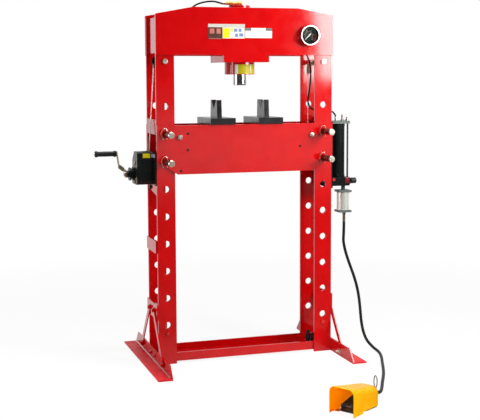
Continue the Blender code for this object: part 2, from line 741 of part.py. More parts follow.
def head_outline():
    wide = OUTER_X + HEAD_OVERHANG
    half = [
        (HEAD_FLAT / 2, HEAD_TOP), (wide, HEAD_SHOULDER), (wide, HEAD_BOTTOM),
        (HEAD_TAB_WIDTH / 2, HEAD_BOTTOM), (HEAD_TAB_WIDTH / 2, BOX_BOTTOM),
    ]
    return half + [(-a, b) for a, b in reversed(half)]


def make_head():
    """Head plates outside the bars, and the box between them that holds the cylinder."""
    stem = circle(GAUGE_X, GAUGE_Z, GAUGE_STEM_DIA + 2 * FIT, 16)
    put_plate("head_plate_front", [head_outline(), stem], PLATE_THICK, RED, (0.0, -PLATE_Y, 0.0), UPRIGHT_XZ)
    put_plate("head_plate_rear", [head_outline()], PLATE_THICK, RED, (0.0, PLATE_Y, 0.0), UPRIGHT_XZ)
    shape = bmesh.new()
    inside = BOX_X - BOX_WALL
    outer = rectangle(-BOX_X, BOX_BOTTOM, BOX_X, BOX_TOP)
    inner = rectangle(-inside, BOX_BOTTOM + DECK_THICK, inside, BOX_TOP - DECK_THICK)
    add_plate(shape, [outer, inner], 2 * FRAME_Y, (0.0, 0.0, 0.0), UPRIGHT_XZ)
    box = put_mesh("cylinder_mount_box", shape, RED)
    bore = bmesh.new()
    low = (0.0, 0.0, BOX_BOTTOM - DECK_THICK)
    add_round(bore, low, (0.0, 0.0, 1.0), BOX_HEIGHT + 2 * DECK_THICK, BARREL_DIA + 2 * FIT, 40)
    cut(box, bore)


def make_cylinder():
    """Barrel on its collar, screwed cap, gland, piston with its seal, and ram; ram and piston slide down."""
    outer = BARREL_DIA / 2
    bore = BORE_DIA / 2
    collar = BOX_TOP + FIT
    flange = COLLAR_DIA / 2
    barrel = [
        (bore, BARREL_TOP), (outer, BARREL_TOP), (outer, collar + COLLAR_THICK),
        (flange, collar + COLLAR_THICK),
        (flange, collar), (outer, collar), (outer, BARREL_BOTTOM), (bore, BARREL_BOTTOM),
    ]
    put_turned("cylinder_barrel", barrel, RED, (0.0, 0.0, 0.0), steps=40, closed=True)
    cap_low = BARREL_TOP + FIT
    step = BARREL_TOP + CAP_RISE / 2
    plug = bore - FIT
    cap = [
        (0.0, CAP_TOP), (CAP_DIA / 2, CAP_TOP), (CAP_DIA / 2, step), (outer, step),
        (outer, cap_low), (plug, cap_low),
        (plug, BARREL_TOP - CAP_PLUG), (0.0, BARREL_TOP - CAP_PLUG),
    ]
    put_turned("cylinder_cap", cap, RED, (0.0, 0.0, 0.0), steps=32)
    gland_low = BARREL_BOTTOM + GLAND_RECESS
    gland_high = gland_low + GLAND_THICK
    rod = RAM_DIA / 2
    gland = [(rod + FIT, gland_high), (plug, gland_high), (plug, gland_low), (rod + FIT, gland_low)]
    put_turned("cylinder_gland", gland, STEEL, (0.0, 0.0, 0.0), closed=True)
    ram_top = PISTON_BOTTOM - FIT
    ram = [
        (0.0, ram_top), (rod, ram_top), (rod, RAM_BOTTOM + RAM_CHAMFER), (rod - RAM_CHAMFER, RAM_BOTTOM),
        (0.0, RAM_BOTTOM),
    ]
    put_turned("ram", ram, CHROME, (0.0, 0.0, 0.0))
    seal_low = PISTON_BOTTOM + (PISTON_THICK - SEAL_THICK) / 2
    seal_high = seal_low + SEAL_THICK
    groove = plug - SEAL_GROOVE
    piston = [
        (0.0, PISTON_TOP), (plug, PISTON_TOP), (plug, seal_high + FIT), (groove, seal_high + FIT),
        (groove, seal_low - FIT), (plug, seal_low - FIT), (plug, PISTON_BOTTOM), (0.0, PISTON_BOTTOM),
    ]
    put_turned("piston", piston, STEEL, (0.0, 0.0, 0.0))
    seal = [(groove + FIT, seal_high), (plug, seal_high), (plug, seal_low), (groove + FIT, seal_low)]
    put_turned("piston_seal", seal, RUBBER, (0.0, 0.0, 0.0), closed=True)


def make_oil_line():
    """Brass elbow on the cap and the hydraulic hose to the pump."""
    shape = bmesh.new()
    nut = ELBOW_NUT / 2
    neck = ELBOW_DIA / 2
    steps = [
        (0.0, nut), (0.024, nut), (0.024, neck), (0.050, neck), (0.050, nut), (0.068, nut), (0.068, neck),
        (ELBOW_LENGTH, neck),
    ]
    add_stepped(shape, (ELBOW_TAIL, 0.0, ELBOW_Z), (-1.0, 0.0, 0.0), steps, 12)
    put_mesh("inlet_elbow", shape, BRASS)
    put_tube("hydraulic_hose", smooth_route(OIL_HOSE_ROUTE, 2.6 * OIL_HOSE_DIA), OIL_HOSE_DIA, RUBBER)


def make_gauge():
    """Round pressure gauge: case with a stem through the head plate, dial, needle and lens."""
    place = (GAUGE_X, GAUGE_Y, GAUGE_Z)
    rim = GAUGE_DIA / 2
    inner = rim - GAUGE_WALL
    stem = GAUGE_STEM_DIA / 2
    case = [
        (0.0, GAUGE_BACK), (inner, GAUGE_BACK), (inner, GAUGE_DEPTH), (rim, GAUGE_DEPTH),
        (rim, 0.0), (stem, 0.0),
        (stem, -GAUGE_STEM), (0.0, -GAUGE_STEM),
    ]
    put_turned("gauge_case", case, CHROME, place, UPRIGHT_XZ)
    dial_low = GAUGE_BACK + FIT
    dial_high = dial_low + DIAL_THICK
    dial = [(0.0, dial_high), (inner - FIT, dial_high), (inner - FIT, dial_low), (0.0, dial_low)]
    put_turned("gauge_dial", dial, DIAL_BLACK, place, UPRIGHT_XZ)
    half = NEEDLE_WIDTH / 2
    hub = NEEDLE_WIDTH
    pointer = [(NEEDLE_LENGTH, 0.0)] + arc(0.0, 0.0, hub, pi / 6, pi - pi / 6, 7)
    pointer += [(-NEEDLE_TAIL, half), (-NEEDLE_TAIL, -half)]
    pointer += arc(0.0, 0.0, hub, pi + pi / 6, 2 * pi - pi / 6, 7)
    turned = []
    for a, b in pointer:
        across = a * cos(NEEDLE_REST) - b * sin(NEEDLE_REST)
        upwards = a * sin(NEEDLE_REST) + b * cos(NEEDLE_REST)
        turned.append((across, upwards))
    needle_y = GAUGE_Y - dial_high - NEEDLE_GAP - NEEDLE_THICK / 2
    shape = bmesh.new()
    add_plate(shape, [turned], NEEDLE_THICK, (0.0, 0.0, 0.0), UPRIGHT_XZ)
    needle = put_mesh("gauge_needle", shape, WHITE, (GAUGE_X, needle_y, GAUGE_Z))
    spindle = bmesh.new()
    root = NEEDLE_THICK / 2 + NEEDLE_GAP - FIT
    add_round(spindle, (0.0, root, 0.0), (0.0, -1.0, 0.0), root + NEEDLE_THICK, 1.5 * NEEDLE_WIDTH, 16)
    weld(needle, spindle)
    lens_high = GAUGE_DEPTH - LENS_INSET
    lens_low = lens_high - LENS_THICK
    lens = [(0.0, lens_high), (inner - FIT, lens_high), (inner - FIT, lens_low), (0.0, lens_low)]
    put_turned("gauge_lens", lens, GLASS, place, UPRIGHT_XZ)


def make_feet():
    """Floor angles outside the posts, their ends cut at a slope, each with two bolt heads."""
    low = OUTER_X + FIT
    half = FOOT_LENGTH / 2
    for side, sign in SIDES:
        profile = [
            (low, 0.0), (OUTER_X + FOOT_LEG, 0.0), (OUTER_X + FOOT_LEG, FOOT_THICK),
            (low + FOOT_THICK, FOOT_THICK), (low + FOOT_THICK, FOOT_HEIGHT), (low, FOOT_HEIGHT),
        ]
        shape = bmesh.new()
        angle = [(sign * a, b) for a, b in profile]
        add_plate(shape, [angle], FOOT_LENGTH, (0.0, 0.0, 0.0), UPRIGHT_XZ)
        foot = put_mesh(f"foot_{side}", shape, RED)
        ends = bmesh.new()
        for depth in (-1, 1):
            wedge = [
                (depth * (half + SINK), FOOT_THICK), (depth * half, FOOT_THICK),
                (depth * (half - FOOT_CHAMFER), FOOT_HEIGHT),
                (depth * (half - FOOT_CHAMFER), FOOT_HEIGHT + SINK),
                (depth * (half + SINK), FOOT_HEIGHT + SINK),
            ]
            add_plate(ends, [wedge], 3 * FOOT_THICK, (sign * (low + FOOT_THICK / 2), 0.0, 0.0), UPRIGHT_YZ)
        cut(foot, ends)
        bolts = bmesh.new()
        for depth in (-1, 1):
            add_bolt(bolts, (sign * (low + FOOT_THICK), depth * FOOT_BOLT_Y, FOOT_BOLT_Z), (sign, 0.0, 0.0))
        weld(foot, bolts)


def make_braces():
    """Four flat braces from the posts' brackets down to the feet, each with its two bolt heads."""
    top_z = BRACE_TIE_Z + TIE_HEIGHT / 2
    run = BRACE_FOOT_Y - BRACE_TOP_Y
    fall = top_z - BRACE_FOOT_Z
    slope = atan2(fall, run)
    reach = hypot(run, fall)
    radius = BRACE_WIDTH / 2
    local = arc(0.0, 0.0, radius, pi / 2, 3 * pi / 2, 7) + arc(reach, 0.0, radius, -pi / 2, pi / 2, 7)
    inner_x = OUTER_X + 2 * FIT + FOOT_THICK
    for side, sign in SIDES:
        for face, depth in FACES:
            bar = []
            for a, b in local:
                across = BRACE_TOP_Y + a * cos(slope) + b * sin(slope)
                bar.append((depth * across, top_z - a * sin(slope) + b * cos(slope)))
            shape = bmesh.new()
            add_plate(shape, [bar], BRACE_THICK, (sign * (inner_x + BRACE_THICK / 2), 0.0, 0.0), UPRIGHT_YZ)
            brace = put_mesh(f"foot_brace_{side}_{face}", shape, RED)
            bolts = bmesh.new()
            seat_x = sign * (inner_x + BRACE_THICK)
            add_bolt(bolts, (seat_x, depth * BRACE_TOP_Y, top_z), (sign, 0.0, 0.0))
            add_bolt(bolts, (seat_x, depth * BRACE_FOOT_Y, BRACE_FOOT_Z), (sign, 0.0, 0.0))
            weld(brace, bolts)


def make_beam():
    """Channel between the feet, open side up, run into both posts, with four nuts on sleeves on its web."""
    wide = BAR_INSIDE_Y - FIT
    top = BEAM_CLEAR + BEAM_HEIGHT
    web = BEAM_CLEAR + BEAM_WALL
    channel = [
        (-wide, BEAM_CLEAR), (wide, BEAM_CLEAR), (wide, top), (wide - BEAM_WALL, top),
        (wide - BEAM_WALL, web), (-wide + BEAM_WALL, web), (-wide + BEAM_WALL, top), (-wide, top),
    ]
    shape = bmesh.new()
    add_plate(shape, [channel], 2 * OUTER_X, (0.0, 0.0, 0.0), UPRIGHT_YZ)
    beam = put_mesh("bottom_beam", shape, RED)
    upward = (0.0, 0.0, 1.0)
    for side, sign in SIDES:
        for depth in (-1, 1):
            place = (sign * BEAM_BOLT_X, depth * BEAM_BOLT_Y)
            sleeve = bmesh.new()
            add_round(sleeve, (*place, web - SINK), upward, BEAM_SLEEVE_HEIGHT + SINK, BEAM_SLEEVE)
            weld(beam, sleeve)
            nut = bmesh.new()
            add_bolt(nut, (*place, web + BEAM_SLEEVE_HEIGHT), upward, BEAM_BOLT_HEAD, BEAM_BOLT_HEIGHT)
            weld(beam, nut)


def table_outline():
    wide = OUTER_X
    half = [
        (wide, TABLE_TOP), (wide, TABLE_BOTTOM + TABLE_CHAMFER_Z), (wide - TABLE_CHAMFER_X, TABLE_BOTTOM),
    ]
    return half + [(-a, b) for a, b in reversed(half)]


def pin_heights():
    return [hole_heights()[step] for step in PIN_HOLES]


def make_table():
    """Table plates outside the bars, held by the pins; the roller pins are welded to the rear plate."""
    holes = []
    for side, sign in SIDES:
        for height in pin_heights():
            holes.append(circle(sign * POST_X, height, HOLE_DIA, 20))
        holes.append(circle(sign * TIE_ROD_X, TABLE_TOP - TIE_ROD_DROP, TIE_ROD_DIA + 2 * FIT, 16))
    sockets = [circle(sign * ROLLER_X, ROLLER_Z, ROLLER_PIN_DIA + 2 * FIT, 12) for _, sign in SIDES]
    front = [table_outline()] + holes + sockets
    put_plate("table_plate_front", front, PLATE_THICK, RED, (0.0, -PLATE_Y, 0.0), UPRIGHT_XZ)
    shape = bmesh.new()
    add_plate(shape, [table_outline()] + holes, PLATE_THICK, (0.0, PLATE_Y, 0.0), UPRIGHT_XZ)
    rear = put_mesh("table_plate_rear", shape, RED)
    pins = bmesh.new()
    for side, sign in SIDES:
        start = (sign * ROLLER_X, -PLATE_FACE_Y, ROLLER_Z)
        add_round(pins, start, (0.0, 1.0, 0.0), PLATE_FACE_Y + PLATE_Y, ROLLER_PIN_DIA, 16)
    weld(rear, pins)
    web_top = TABLE_TOP - WEB_DROP
    for side, sign in SIDES:
        web = bmesh.new()
        low_x, high_x = sorted((sign * WEB_X, sign * (WEB_X - WEB_THICK)))
        add_box(web, (low_x, -FRAME_Y, web_top - WEB_HEIGHT), (high_x, FRAME_Y, web_top))
        put_mesh(f"table_web_{side}", web, RED)
    make_table_rods()
    places = [(sign, height) for _, sign in SIDES for height in pin_heights()]
    for number, (sign, height) in enumerate(places, 1):
        make_pin(number, sign, height)


def make_table_rods():
    """Tie rods with a hexagon nut at each end, and the grooved rollers that carry the table on the rope."""
    reach = PLATE_FACE_Y + FIT
    end = reach + TIE_NUT_THICK + TIE_ROD_TIP
    for side, sign in SIDES:
        place = (sign * TIE_ROD_X, 0.0, TABLE_TOP - TIE_ROD_DROP)
        shape = bmesh.new()
        add_round(shape, (0.0, -end, 0.0), (0.0, 1.0, 0.0), 2 * end, TIE_ROD_DIA, 16)
        rod = put_mesh(f"table_tie_rod_{side}", shape, ZINC, place)
        nuts = bmesh.new()
        for depth in (-1, 1):
            seat = (0.0, depth * reach, 0.0)
            add_stepped(nuts, seat, (0.0, depth, 0.0), [(0.0, TIE_NUT / 2), (TIE_NUT_THICK, TIE_NUT / 2)], 6)
        weld(rod, nuts)
        tread = ROLLER_DIA / 2
        profile = sheave(tread, tread + ROPE_DIA, ROLLER_PIN_DIA / 2 + FIT, ROLLER_WIDTH / 2)
        place = (sign * ROLLER_X, 0.0, ROLLER_Z)
        put_turned(f"rope_roller_{side}", profile, STEEL, place, UPRIGHT_XZ, steps=24, closed=True)


def sheave(groove, rim, bore, half):
    """Profile of a grooved wheel."""
    slack = ROPE_DIA / 2 + GROOVE_SLACK
    return [(bore, half), (rim, half), (groove, slack), (groove, -slack), (rim, -half), (bore, -half)]


def make_pin(number, sign, height):
    """One table pin and the wire clip pushed through its front end."""
    radius = PIN_DIA / 2
    length = PIN_FRONT + PIN_REAR
    steps = [
        (0.0, radius - PIN_CHAMFER), (PIN_CHAMFER, radius), (length - PIN_CHAMFER, radius),
        (length, radius - PIN_CHAMFER),
    ]
    shape = bmesh.new()
    add_stepped(shape, (0.0, -PIN_FRONT, 0.0), (0.0, 1.0, 0.0), steps, 20)
    pin = put_mesh(f"table_pin_{number}", shape, ZINC, (sign * POST_X, 0.0, height))
    clip_y = -PLATE_FACE_Y - CLIP_Y
    bow = radius + CLIP_WIRE / 2 + FIT
    route = [
        (0.0, clip_y, -radius - 0.010), (0.0, clip_y, radius + 0.006), (-0.006, clip_y, radius + 0.013),
        (-bow - 0.004, clip_y, radius + 0.008), (-bow - CLIP_BOW, clip_y, 0.0),
        (-bow - 0.006, clip_y, -CLIP_BOW),
        (-bow - 0.003, clip_y, -CLIP_LENGTH / 2),
    ]
    clip = bmesh.new()
    add_curve(clip, tube_curve("clip", smooth_route(route, 3 * CLIP_WIRE), CLIP_WIRE, 1), Matrix.Identity(4))
    weld(pin, clip)


def make_blocks():
    """Two V-blocks across the table: a base and an upright web with a V cut along X in its top."""
    base_z = TABLE_TOP + FIT
    half_x = BLOCK_WIDTH / 2
    half_y = BLOCK_LENGTH / 2
    notch = NOTCH_WIDTH / 2
    foot = BLOCK_WEB_LENGTH / 2
    top = foot - BLOCK_WEB_TAPER
    outline = [
        (-foot, BLOCK_BASE - SINK), (foot, BLOCK_BASE - SINK), (top, BLOCK_HEIGHT), (notch, BLOCK_HEIGHT),
        (0.0, BLOCK_HEIGHT - NOTCH_DEPTH), (-notch, BLOCK_HEIGHT), (-top, BLOCK_HEIGHT),
    ]
    for side, sign in SIDES:
        shape = bmesh.new()
        add_box(shape, (-half_x, -half_y, 0.0), (half_x, half_y, BLOCK_BASE))
        block = put_mesh(f"v_block_{side}", shape, BLOCK_STEEL, (sign * BLOCK_X, 0.0, base_z))
        web = bmesh.new()
        add_plate(web, [outline], BLOCK_WEB, (0.0, 0.0, 0.0), UPRIGHT_YZ)
        weld(block, web)


def make_lift():
    """Head pulley on the left, rope anchor on the right, their axle bolts, and the one rope between them."""
    groove = PULLEY_DIA / 2 - PULLEY_GROOVE
    half = PULLEY_WIDTH / 2
    profile = sheave(groove, PULLEY_DIA / 2, AXLE_DIA / 2 + FIT, half)
    put_turned("head_pulley", profile, BLACK, (-POST_X, 0.0, PULLEY_Z), UPRIGHT_XZ, steps=28, closed=True)
    put_axle("pulley_axle", -POST_X, half)
    anchor = put_axle("anchor_axle", POST_X, half)
    weld_anchor(anchor, half)
    make_rope(groove)


def put_axle(name, place_x, half):
    """A bolt through both bars of a post, with sleeves that keep its middle free for a wheel or an eye."""
    seat = FRAME_Y + FIT
    axle = AXLE_DIA / 2
    sleeve = axle * SLEEVE_RATIO
    wall = BAR_INSIDE_Y - FIT
    mid = half + FIT
    steps = [
        (-seat - SINK, axle), (-wall, axle), (-wall, sleeve), (-mid, sleeve), (-mid, axle), (mid, axle),
        (mid, sleeve), (wall, sleeve), (wall, axle), (seat + SINK, axle),
    ]
    shape = bmesh.new()
    add_stepped(shape, (0.0, 0.0, 0.0), (0.0, 1.0, 0.0), steps, 20)
    node = put_mesh(name, shape, ZINC, (place_x, 0.0, PULLEY_Z))
    heads = bmesh.new()
    for depth in (-1, 1):
        head = [(0.0, AXLE_HEAD / 2), (AXLE_HEIGHT, AXLE_HEAD / 2)]
        add_stepped(heads, (0.0, depth * seat, 0.0), (0.0, depth, 0.0), head, 6)
    weld(node, heads)
    return node


def weld_anchor(axle, half):
    """Anchor arm on the right axle, with a clamp block at its tip that grips the rope's end."""
    reach = POST_X - ROPE_X
    arm = bmesh.new()
    outline = arc(0.0, 0.0, ANCHOR_EYE / 2, -pi / 4, 3 * pi / 4, 9)
    outline += [(-reach - ANCHOR_WIDTH / 3, -ANCHOR_DROP / 2), (-reach - ANCHOR_WIDTH / 3, -ANCHOR_DROP)]
    outline += [(-reach + ANCHOR_WIDTH / 3, -ANCHOR_DROP)]
    add_plate(arm, [outline], 2 * half * 0.6, (0.0, 0.0, 0.0), UPRIGHT_XZ)
    weld(axle, arm)
    block = bmesh.new()
    half_b = ANCHOR_WIDTH / 2
    top = -ANCHOR_DROP + 2 * SINK
    add_box(block, (-reach - half_b, -half_b, top - CLAMP_LENGTH), (-reach + half_b, half_b, top))
    weld(axle, block)
    bore = bmesh.new()
    start = (-reach, 0.0, top - 2 * CLAMP_LENGTH)
    add_round(bore, start, (0.0, 0.0, 1.0), 2 * CLAMP_LENGTH - 3 * SINK, ROPE_DIA + 4 * FIT, 12)
    cut(axle, bore)


def make_rope(groove):
    """Steel rope: winch drum, over the head pulley, under the table on its rollers, up to the anchor."""
    reach = groove + ROPE_DIA / 2 + FIT
    drum_x = DRUM_IN_X - FLANGE_THICK - ROPE_DIA
    points = [Vector((drum_x, ROPE_Y, DRUM_Z)), Vector((drum_x, ROPE_Y, WINCH_TOP))]
    for a, b in arc(-POST_X, PULLEY_Z, reach, pi, 0.0, 13):
        points.append(Vector((a, 0.0, b)))
    bottom = ROLLER_DIA / 2 + ROPE_DIA / 2 + FIT
    for a, b in arc(-ROLLER_X, ROLLER_Z, bottom, pi, 3 * pi / 2, 8):
        points.append(Vector((a, 0.0, b)))
    for a, b in arc(ROLLER_X, ROLLER_Z, bottom, -pi / 2, 0.0, 8):
        points.append(Vector((a, 0.0, b)))
    rope_end = PULLEY_Z - ANCHOR_DROP - 3 * SINK
    points.append(Vector((ROPE_X, 0.0, rope_end)))
    put_tube("lift_rope", points, ROPE_DIA, STEEL)


def winch_corners():
    """Side outline of the winch: flat top sloping off behind, heel at the brake, cut-off lower corners."""
    bottom = WINCH_Z + SINK
    heel = WINCH_Z + WINCH_HEEL_RISE
    step = WINCH_HEEL_Y - WINCH_REAR_Y
    return [
        (WINCH_REAR_Y - WINCH_SLOPE, WINCH_TOP), (WINCH_FRONT_Y + WINCH_EDGE, WINCH_TOP),
        (WINCH_FRONT_Y, WINCH_TOP - WINCH_EDGE), (WINCH_FRONT_Y, bottom + WINCH_TOE),
        (WINCH_FRONT_Y + WINCH_TOE, bottom), (WINCH_HEEL_Y - WINCH_TOE, bottom),
        (WINCH_HEEL_Y, bottom + WINCH_TOE), (WINCH_HEEL_Y, heel), (WINCH_REAR_Y, heel + step),
        (WINCH_REAR_Y, WINCH_TOP - WINCH_SLOPE),
    ]


def drawn_in(corners, inset):
    """An outline moved inwards by an inset, side by side; its corners run anticlockwise."""
    moved = []
    count = len(corners)
    for step in range(count):
        before, here, after = [Vector(corners[(step + shift) % count]) for shift in (-1, 0, 1)]
        first = (here - before).normalized()
        second = (after - here).normalized()
        inward = Vector((-first.y - second.y, first.x + second.x))
        moved.append(here + inward * inset / (1.0 + first.dot(second)))
    return [tuple(point) for point in moved]


def make_winch():
    """Geared hand winch: frame on the post, cover, drum with its gear, pinion shaft, crank and grip."""
    shape = bmesh.new()
    top = WINCH_Z + WINCH_PLATE_HEIGHT
    add_box(shape, (WINCH_X, -FRAME_Y, WINCH_Z), (-OUTER_X - FIT, FRAME_Y, top))
    drum_hole = circle(DRUM_Y, DRUM_Z, DRUM_SHAFT_DIA + 2 * FIT, 16)
    crank_hole = circle(CRANK_Y, CRANK_Z, CRANK_SHAFT_DIA + 2 * FIT, 16)
    side_middle = WINCH_OUT_X - WINCH_SIDE / 2
    side_face = [winch_corners(), drum_hole, crank_hole]
    add_plate(shape, side_face, WINCH_SIDE, (side_middle, 0.0, 0.0), UPRIGHT_YZ)
    frame = put_mesh("winch_frame", shape, BLACK)
    inset = COVER_WALL + SPACER_DIA
    low = WINCH_Z + SINK + inset
    spots = [(WINCH_FRONT_Y + inset, low + WINCH_TOE), (WINCH_HEEL_Y - inset, low + WINCH_TOE), (DRUM_Y, low)]
    spacers = bmesh.new()
    for spot_y, spot_z in spots:
        length = WINCH_DEPTH + 2 * SINK
        add_round(spacers, (WINCH_X + SINK, spot_y, spot_z), (-1.0, 0.0, 0.0), length, SPACER_DIA, 12)
    weld(frame, spacers)
    make_cover()
    make_drum()
    make_crank()


def make_cover():
    """Sheet cover round the winch between its plates, slotted on top for the rope."""
    shape = bmesh.new()
    length = WINCH_DEPTH - 2 * FIT
    middle = WINCH_X - FIT - length / 2
    wall = [winch_corners(), drawn_in(winch_corners(), COVER_WALL)]
    add_plate(shape, wall, length, (middle, 0.0, 0.0), UPRIGHT_YZ)
    cover = put_mesh("winch_cover", shape, BLACK)
    slot = bmesh.new()
    high_x = DRUM_IN_X - FLANGE_THICK
    half = ROPE_SLOT / 2
    low_z = WINCH_TOP - 2 * COVER_WALL
    high = (high_x, ROPE_Y + half, WINCH_TOP + COVER_WALL)
    add_box(slot, (high_x - DRUM_LENGTH, ROPE_Y - half, low_z), high)
    cut(cover, slot)


def make_drum():
    """Drum and flanges on a shaft, with the spur gear against the outer flange."""
    shaft = DRUM_SHAFT_DIA / 2
    flange = DRUM_FLANGE_DIA / 2
    core = DRUM_DIA / 2
    first = WINCH_X - FIT - DRUM_IN_X
    second = first + FLANGE_THICK
    third = second + DRUM_LENGTH
    fourth = third + FLANGE_THICK
    end = WINCH_DEPTH + WINCH_SIDE + DRUM_SHAFT_TIP
    steps = [
        (0.0, shaft), (first, shaft), (first, flange), (second, flange), (second, core), (third, core),
        (third, flange), (fourth, flange), (fourth, shaft), (end, shaft),
    ]
    shape = bmesh.new()
    add_stepped(shape, (0.0, 0.0, 0.0), (-1.0, 0.0, 0.0), steps, 28)
    drum = put_mesh("winch_drum", shape, STEEL, (WINCH_X - FIT, DRUM_Y, DRUM_Z))
    gear = bmesh.new()
    middle = GEAR_X - GEAR_THICK / 2 - (WINCH_X - FIT)
    add_plate(gear, [toothed(GEAR_DIA, GEAR_TEETH, TOOTH_DEPTH)], GEAR_THICK, (middle, 0.0, 0.0), UPRIGHT_YZ)
    weld(drum, gear)


def make_crank():
    """Pinion shaft with ratchet and brake discs, the crank arm on its end, and the grip on a spindle."""
    start = WINCH_X - FIT
    shaft = CRANK_SHAFT_DIA / 2
    brake = start - BRAKE_X
    hub = start - HUB_X
    disc = BRAKE_DIA / 2
    ratchet = RATCHET_DIA / 2
    boss = HUB_DIA / 2
    cap = boss * CRANK_NUT_RATIO
    end = start - ARM_X + CRANK_THICK / 2 + FIT
    steps = [
        (0.0, shaft), (brake, shaft), (brake, disc), (brake + BRAKE_THICK, disc),
        (brake + BRAKE_THICK, ratchet),
        (brake + 2 * BRAKE_THICK, ratchet), (brake + 2 * BRAKE_THICK, disc), (hub, disc), (hub, boss),
        (hub + HUB_LENGTH, boss), (hub + HUB_LENGTH, shaft), (end, shaft), (end, cap), (end + CRANK_NUT, cap),
    ]
    shape = bmesh.new()
    add_stepped(shape, (0.0, 0.0, 0.0), (-1.0, 0.0, 0.0), steps, 24)
    pinion_shaft = put_mesh("pinion_shaft", shape, BLACK, (start, CRANK_Y, CRANK_Z))
    pinion = bmesh.new()
    middle = GEAR_X - GEAR_THICK / 2 - start
    teeth = toothed(PINION_DIA, PINION_TEETH, TOOTH_DEPTH)
    add_plate(pinion, [teeth], GEAR_THICK, (middle, 0.0, 0.0), UPRIGHT_YZ)
    weld(pinion_shaft, pinion)
    make_arm()
    make_grip()


def make_arm():
    """Crank arm: an eye on the shaft, a strip bent outwards and up, and the grip's spindle at its tip."""
    eye = bmesh.new()
    ring = [circle(0.0, 0.0, 2 * CRANK_HUB_RADIUS, 24), circle(0.0, 0.0, CRANK_SHAFT_DIA + 2 * FIT, 16)]
    add_plate(eye, ring, CRANK_THICK, (0.0, 0.0, 0.0), UPRIGHT_YZ)
    arm = put_mesh("crank_arm", eye, ZINC, (ARM_X, CRANK_Y, CRANK_Z))
    reach = Vector((0.0, CRANK_REACH_Y, CRANK_REACH_Z))
    lean = Vector((-CRANK_OFFSET, 0.0, 0.0))
    start = reach.normalized() * (CRANK_HUB_RADIUS * 0.75)
    path = [start, start * 1.2, reach * CRANK_BEND + lean, reach + lean, reach * 1.08 + lean]
    strip = bmesh.new()
    across = reach.cross(Vector((1.0, 0.0, 0.0))).normalized()
    add_strip(strip, path, across, CRANK_WIDTH, CRANK_THICK - SINK / 4)
    weld(arm, strip)
    spindle = bmesh.new()
    length = GRIP_STANDOFF + GRIP_LENGTH + SPINDLE_TIP + CRANK_THICK / 2
    add_round(spindle, tuple(reach + lean), (-1.0, 0.0, 0.0), length, SPINDLE_DIA, 16)
    weld(arm, spindle)


def add_strip(shape, path, across, width, thick):
    """A flat strip along a bent path, mitred at the bends."""
    rings = []
    for step, point in enumerate(path):
        run = path[min(step + 1, len(path) - 1)] - path[max(step - 1, 0)]
        if 0 < step < len(path) - 1:
            run = (point - path[step - 1]).normalized() + (path[step + 1] - point).normalized()
        face = across.cross(run.normalized()).normalized()
        corners = [(-1, -1), (1, -1), (1, 1), (-1, 1)]
        steps = [across * (a * width / 2) + face * (b * thick / 2) for a, b in corners]
        rings.append([shape.verts.new(point + step) for step in steps])
    for first, second in zip(rings, rings[1:]):
        for side in range(4):
            after = (side + 1) % 4
            shape.faces.new((first[side], first[after], second[after], second[side]))
    shape.faces.new(rings[0][::-1])
    shape.faces.new(rings[-1])


def make_grip():
    bore = SPINDLE_DIA / 2 + FIT
    waist = GRIP_DIA / 2
    flare = GRIP_FLARE / 2
    end = GRIP_LENGTH
    profile = [
        (bore, end), (flare * 0.8, end), (flare, end - 0.004), (flare, end - 0.010), (waist, end - 0.018),
        (waist * 1.06, end / 2), (waist, 0.018), (flare, 0.010), (flare, 0.004),
        (flare * 0.8, 0.0), (bore, 0.0),
    ]
    place = (ARM_X - CRANK_OFFSET - CRANK_THICK / 2 - GRIP_STANDOFF, CRANK_TIP_Y, CRANK_TIP_Z)
    put_turned("crank_grip", profile, RUBBER, place, (0.0, -pi / 2, 0.0), steps=24, closed=True)


def make_pump():
    """Air-driven pump on the right post: reservoir between a base and a top plate, air motor below."""
    half = PUMP_DEPTH / 2
    base_top = PUMP_BASE_Z + PUMP_BASE_HEIGHT
    bracket = bmesh.new()
    plate_top = PUMP_PLATE_Z + PUMP_PLATE_HEIGHT
    add_box(bracket, (OUTER_X + FIT, -FRAME_Y, PUMP_PLATE_Z), (PUMP_IN_X, FRAME_Y, plate_top))
    put_mesh("pump_bracket", bracket, BLACK)
    block = bmesh.new()
    add_box(block, (PUMP_IN_X + FIT, -half, PUMP_BASE_Z), (PUMP_REACH, half, base_top))
    base = put_mesh("pump_base", block, BLACK)
    fittings = bmesh.new()
    rod_length = PUMP_TOP_Z - FIT - base_top + SINK
    add_round(fittings, (ROD_X, ROD_Y, base_top - SINK), (0.0, 0.0, 1.0), rod_length, ROD_DIA, 12)
    middle_z = PUMP_BASE_Z + PUMP_BASE_HEIGHT / 2
    valve = VALVE_WIDTH / 2
    valve_end = PUMP_REACH + VALVE_LENGTH
    add_box(fittings, (PUMP_REACH - SINK, -valve, middle_z - valve), (valve_end, valve, middle_z + valve))
    weld(base, fittings)
    tank = bmesh.new()
    tank_low = base_top + FIT
    add_round(tank, (PUMP_X, 0.0, tank_low), (0.0, 0.0, 1.0), PUMP_TOP_Z - FIT - tank_low, RESERVOIR_DIA, 32)
    put_mesh("pump_reservoir", tank, BLACK)
    make_pump_top(half)
    make_knob(valve_end + FIT, middle_z)
    make_motor()


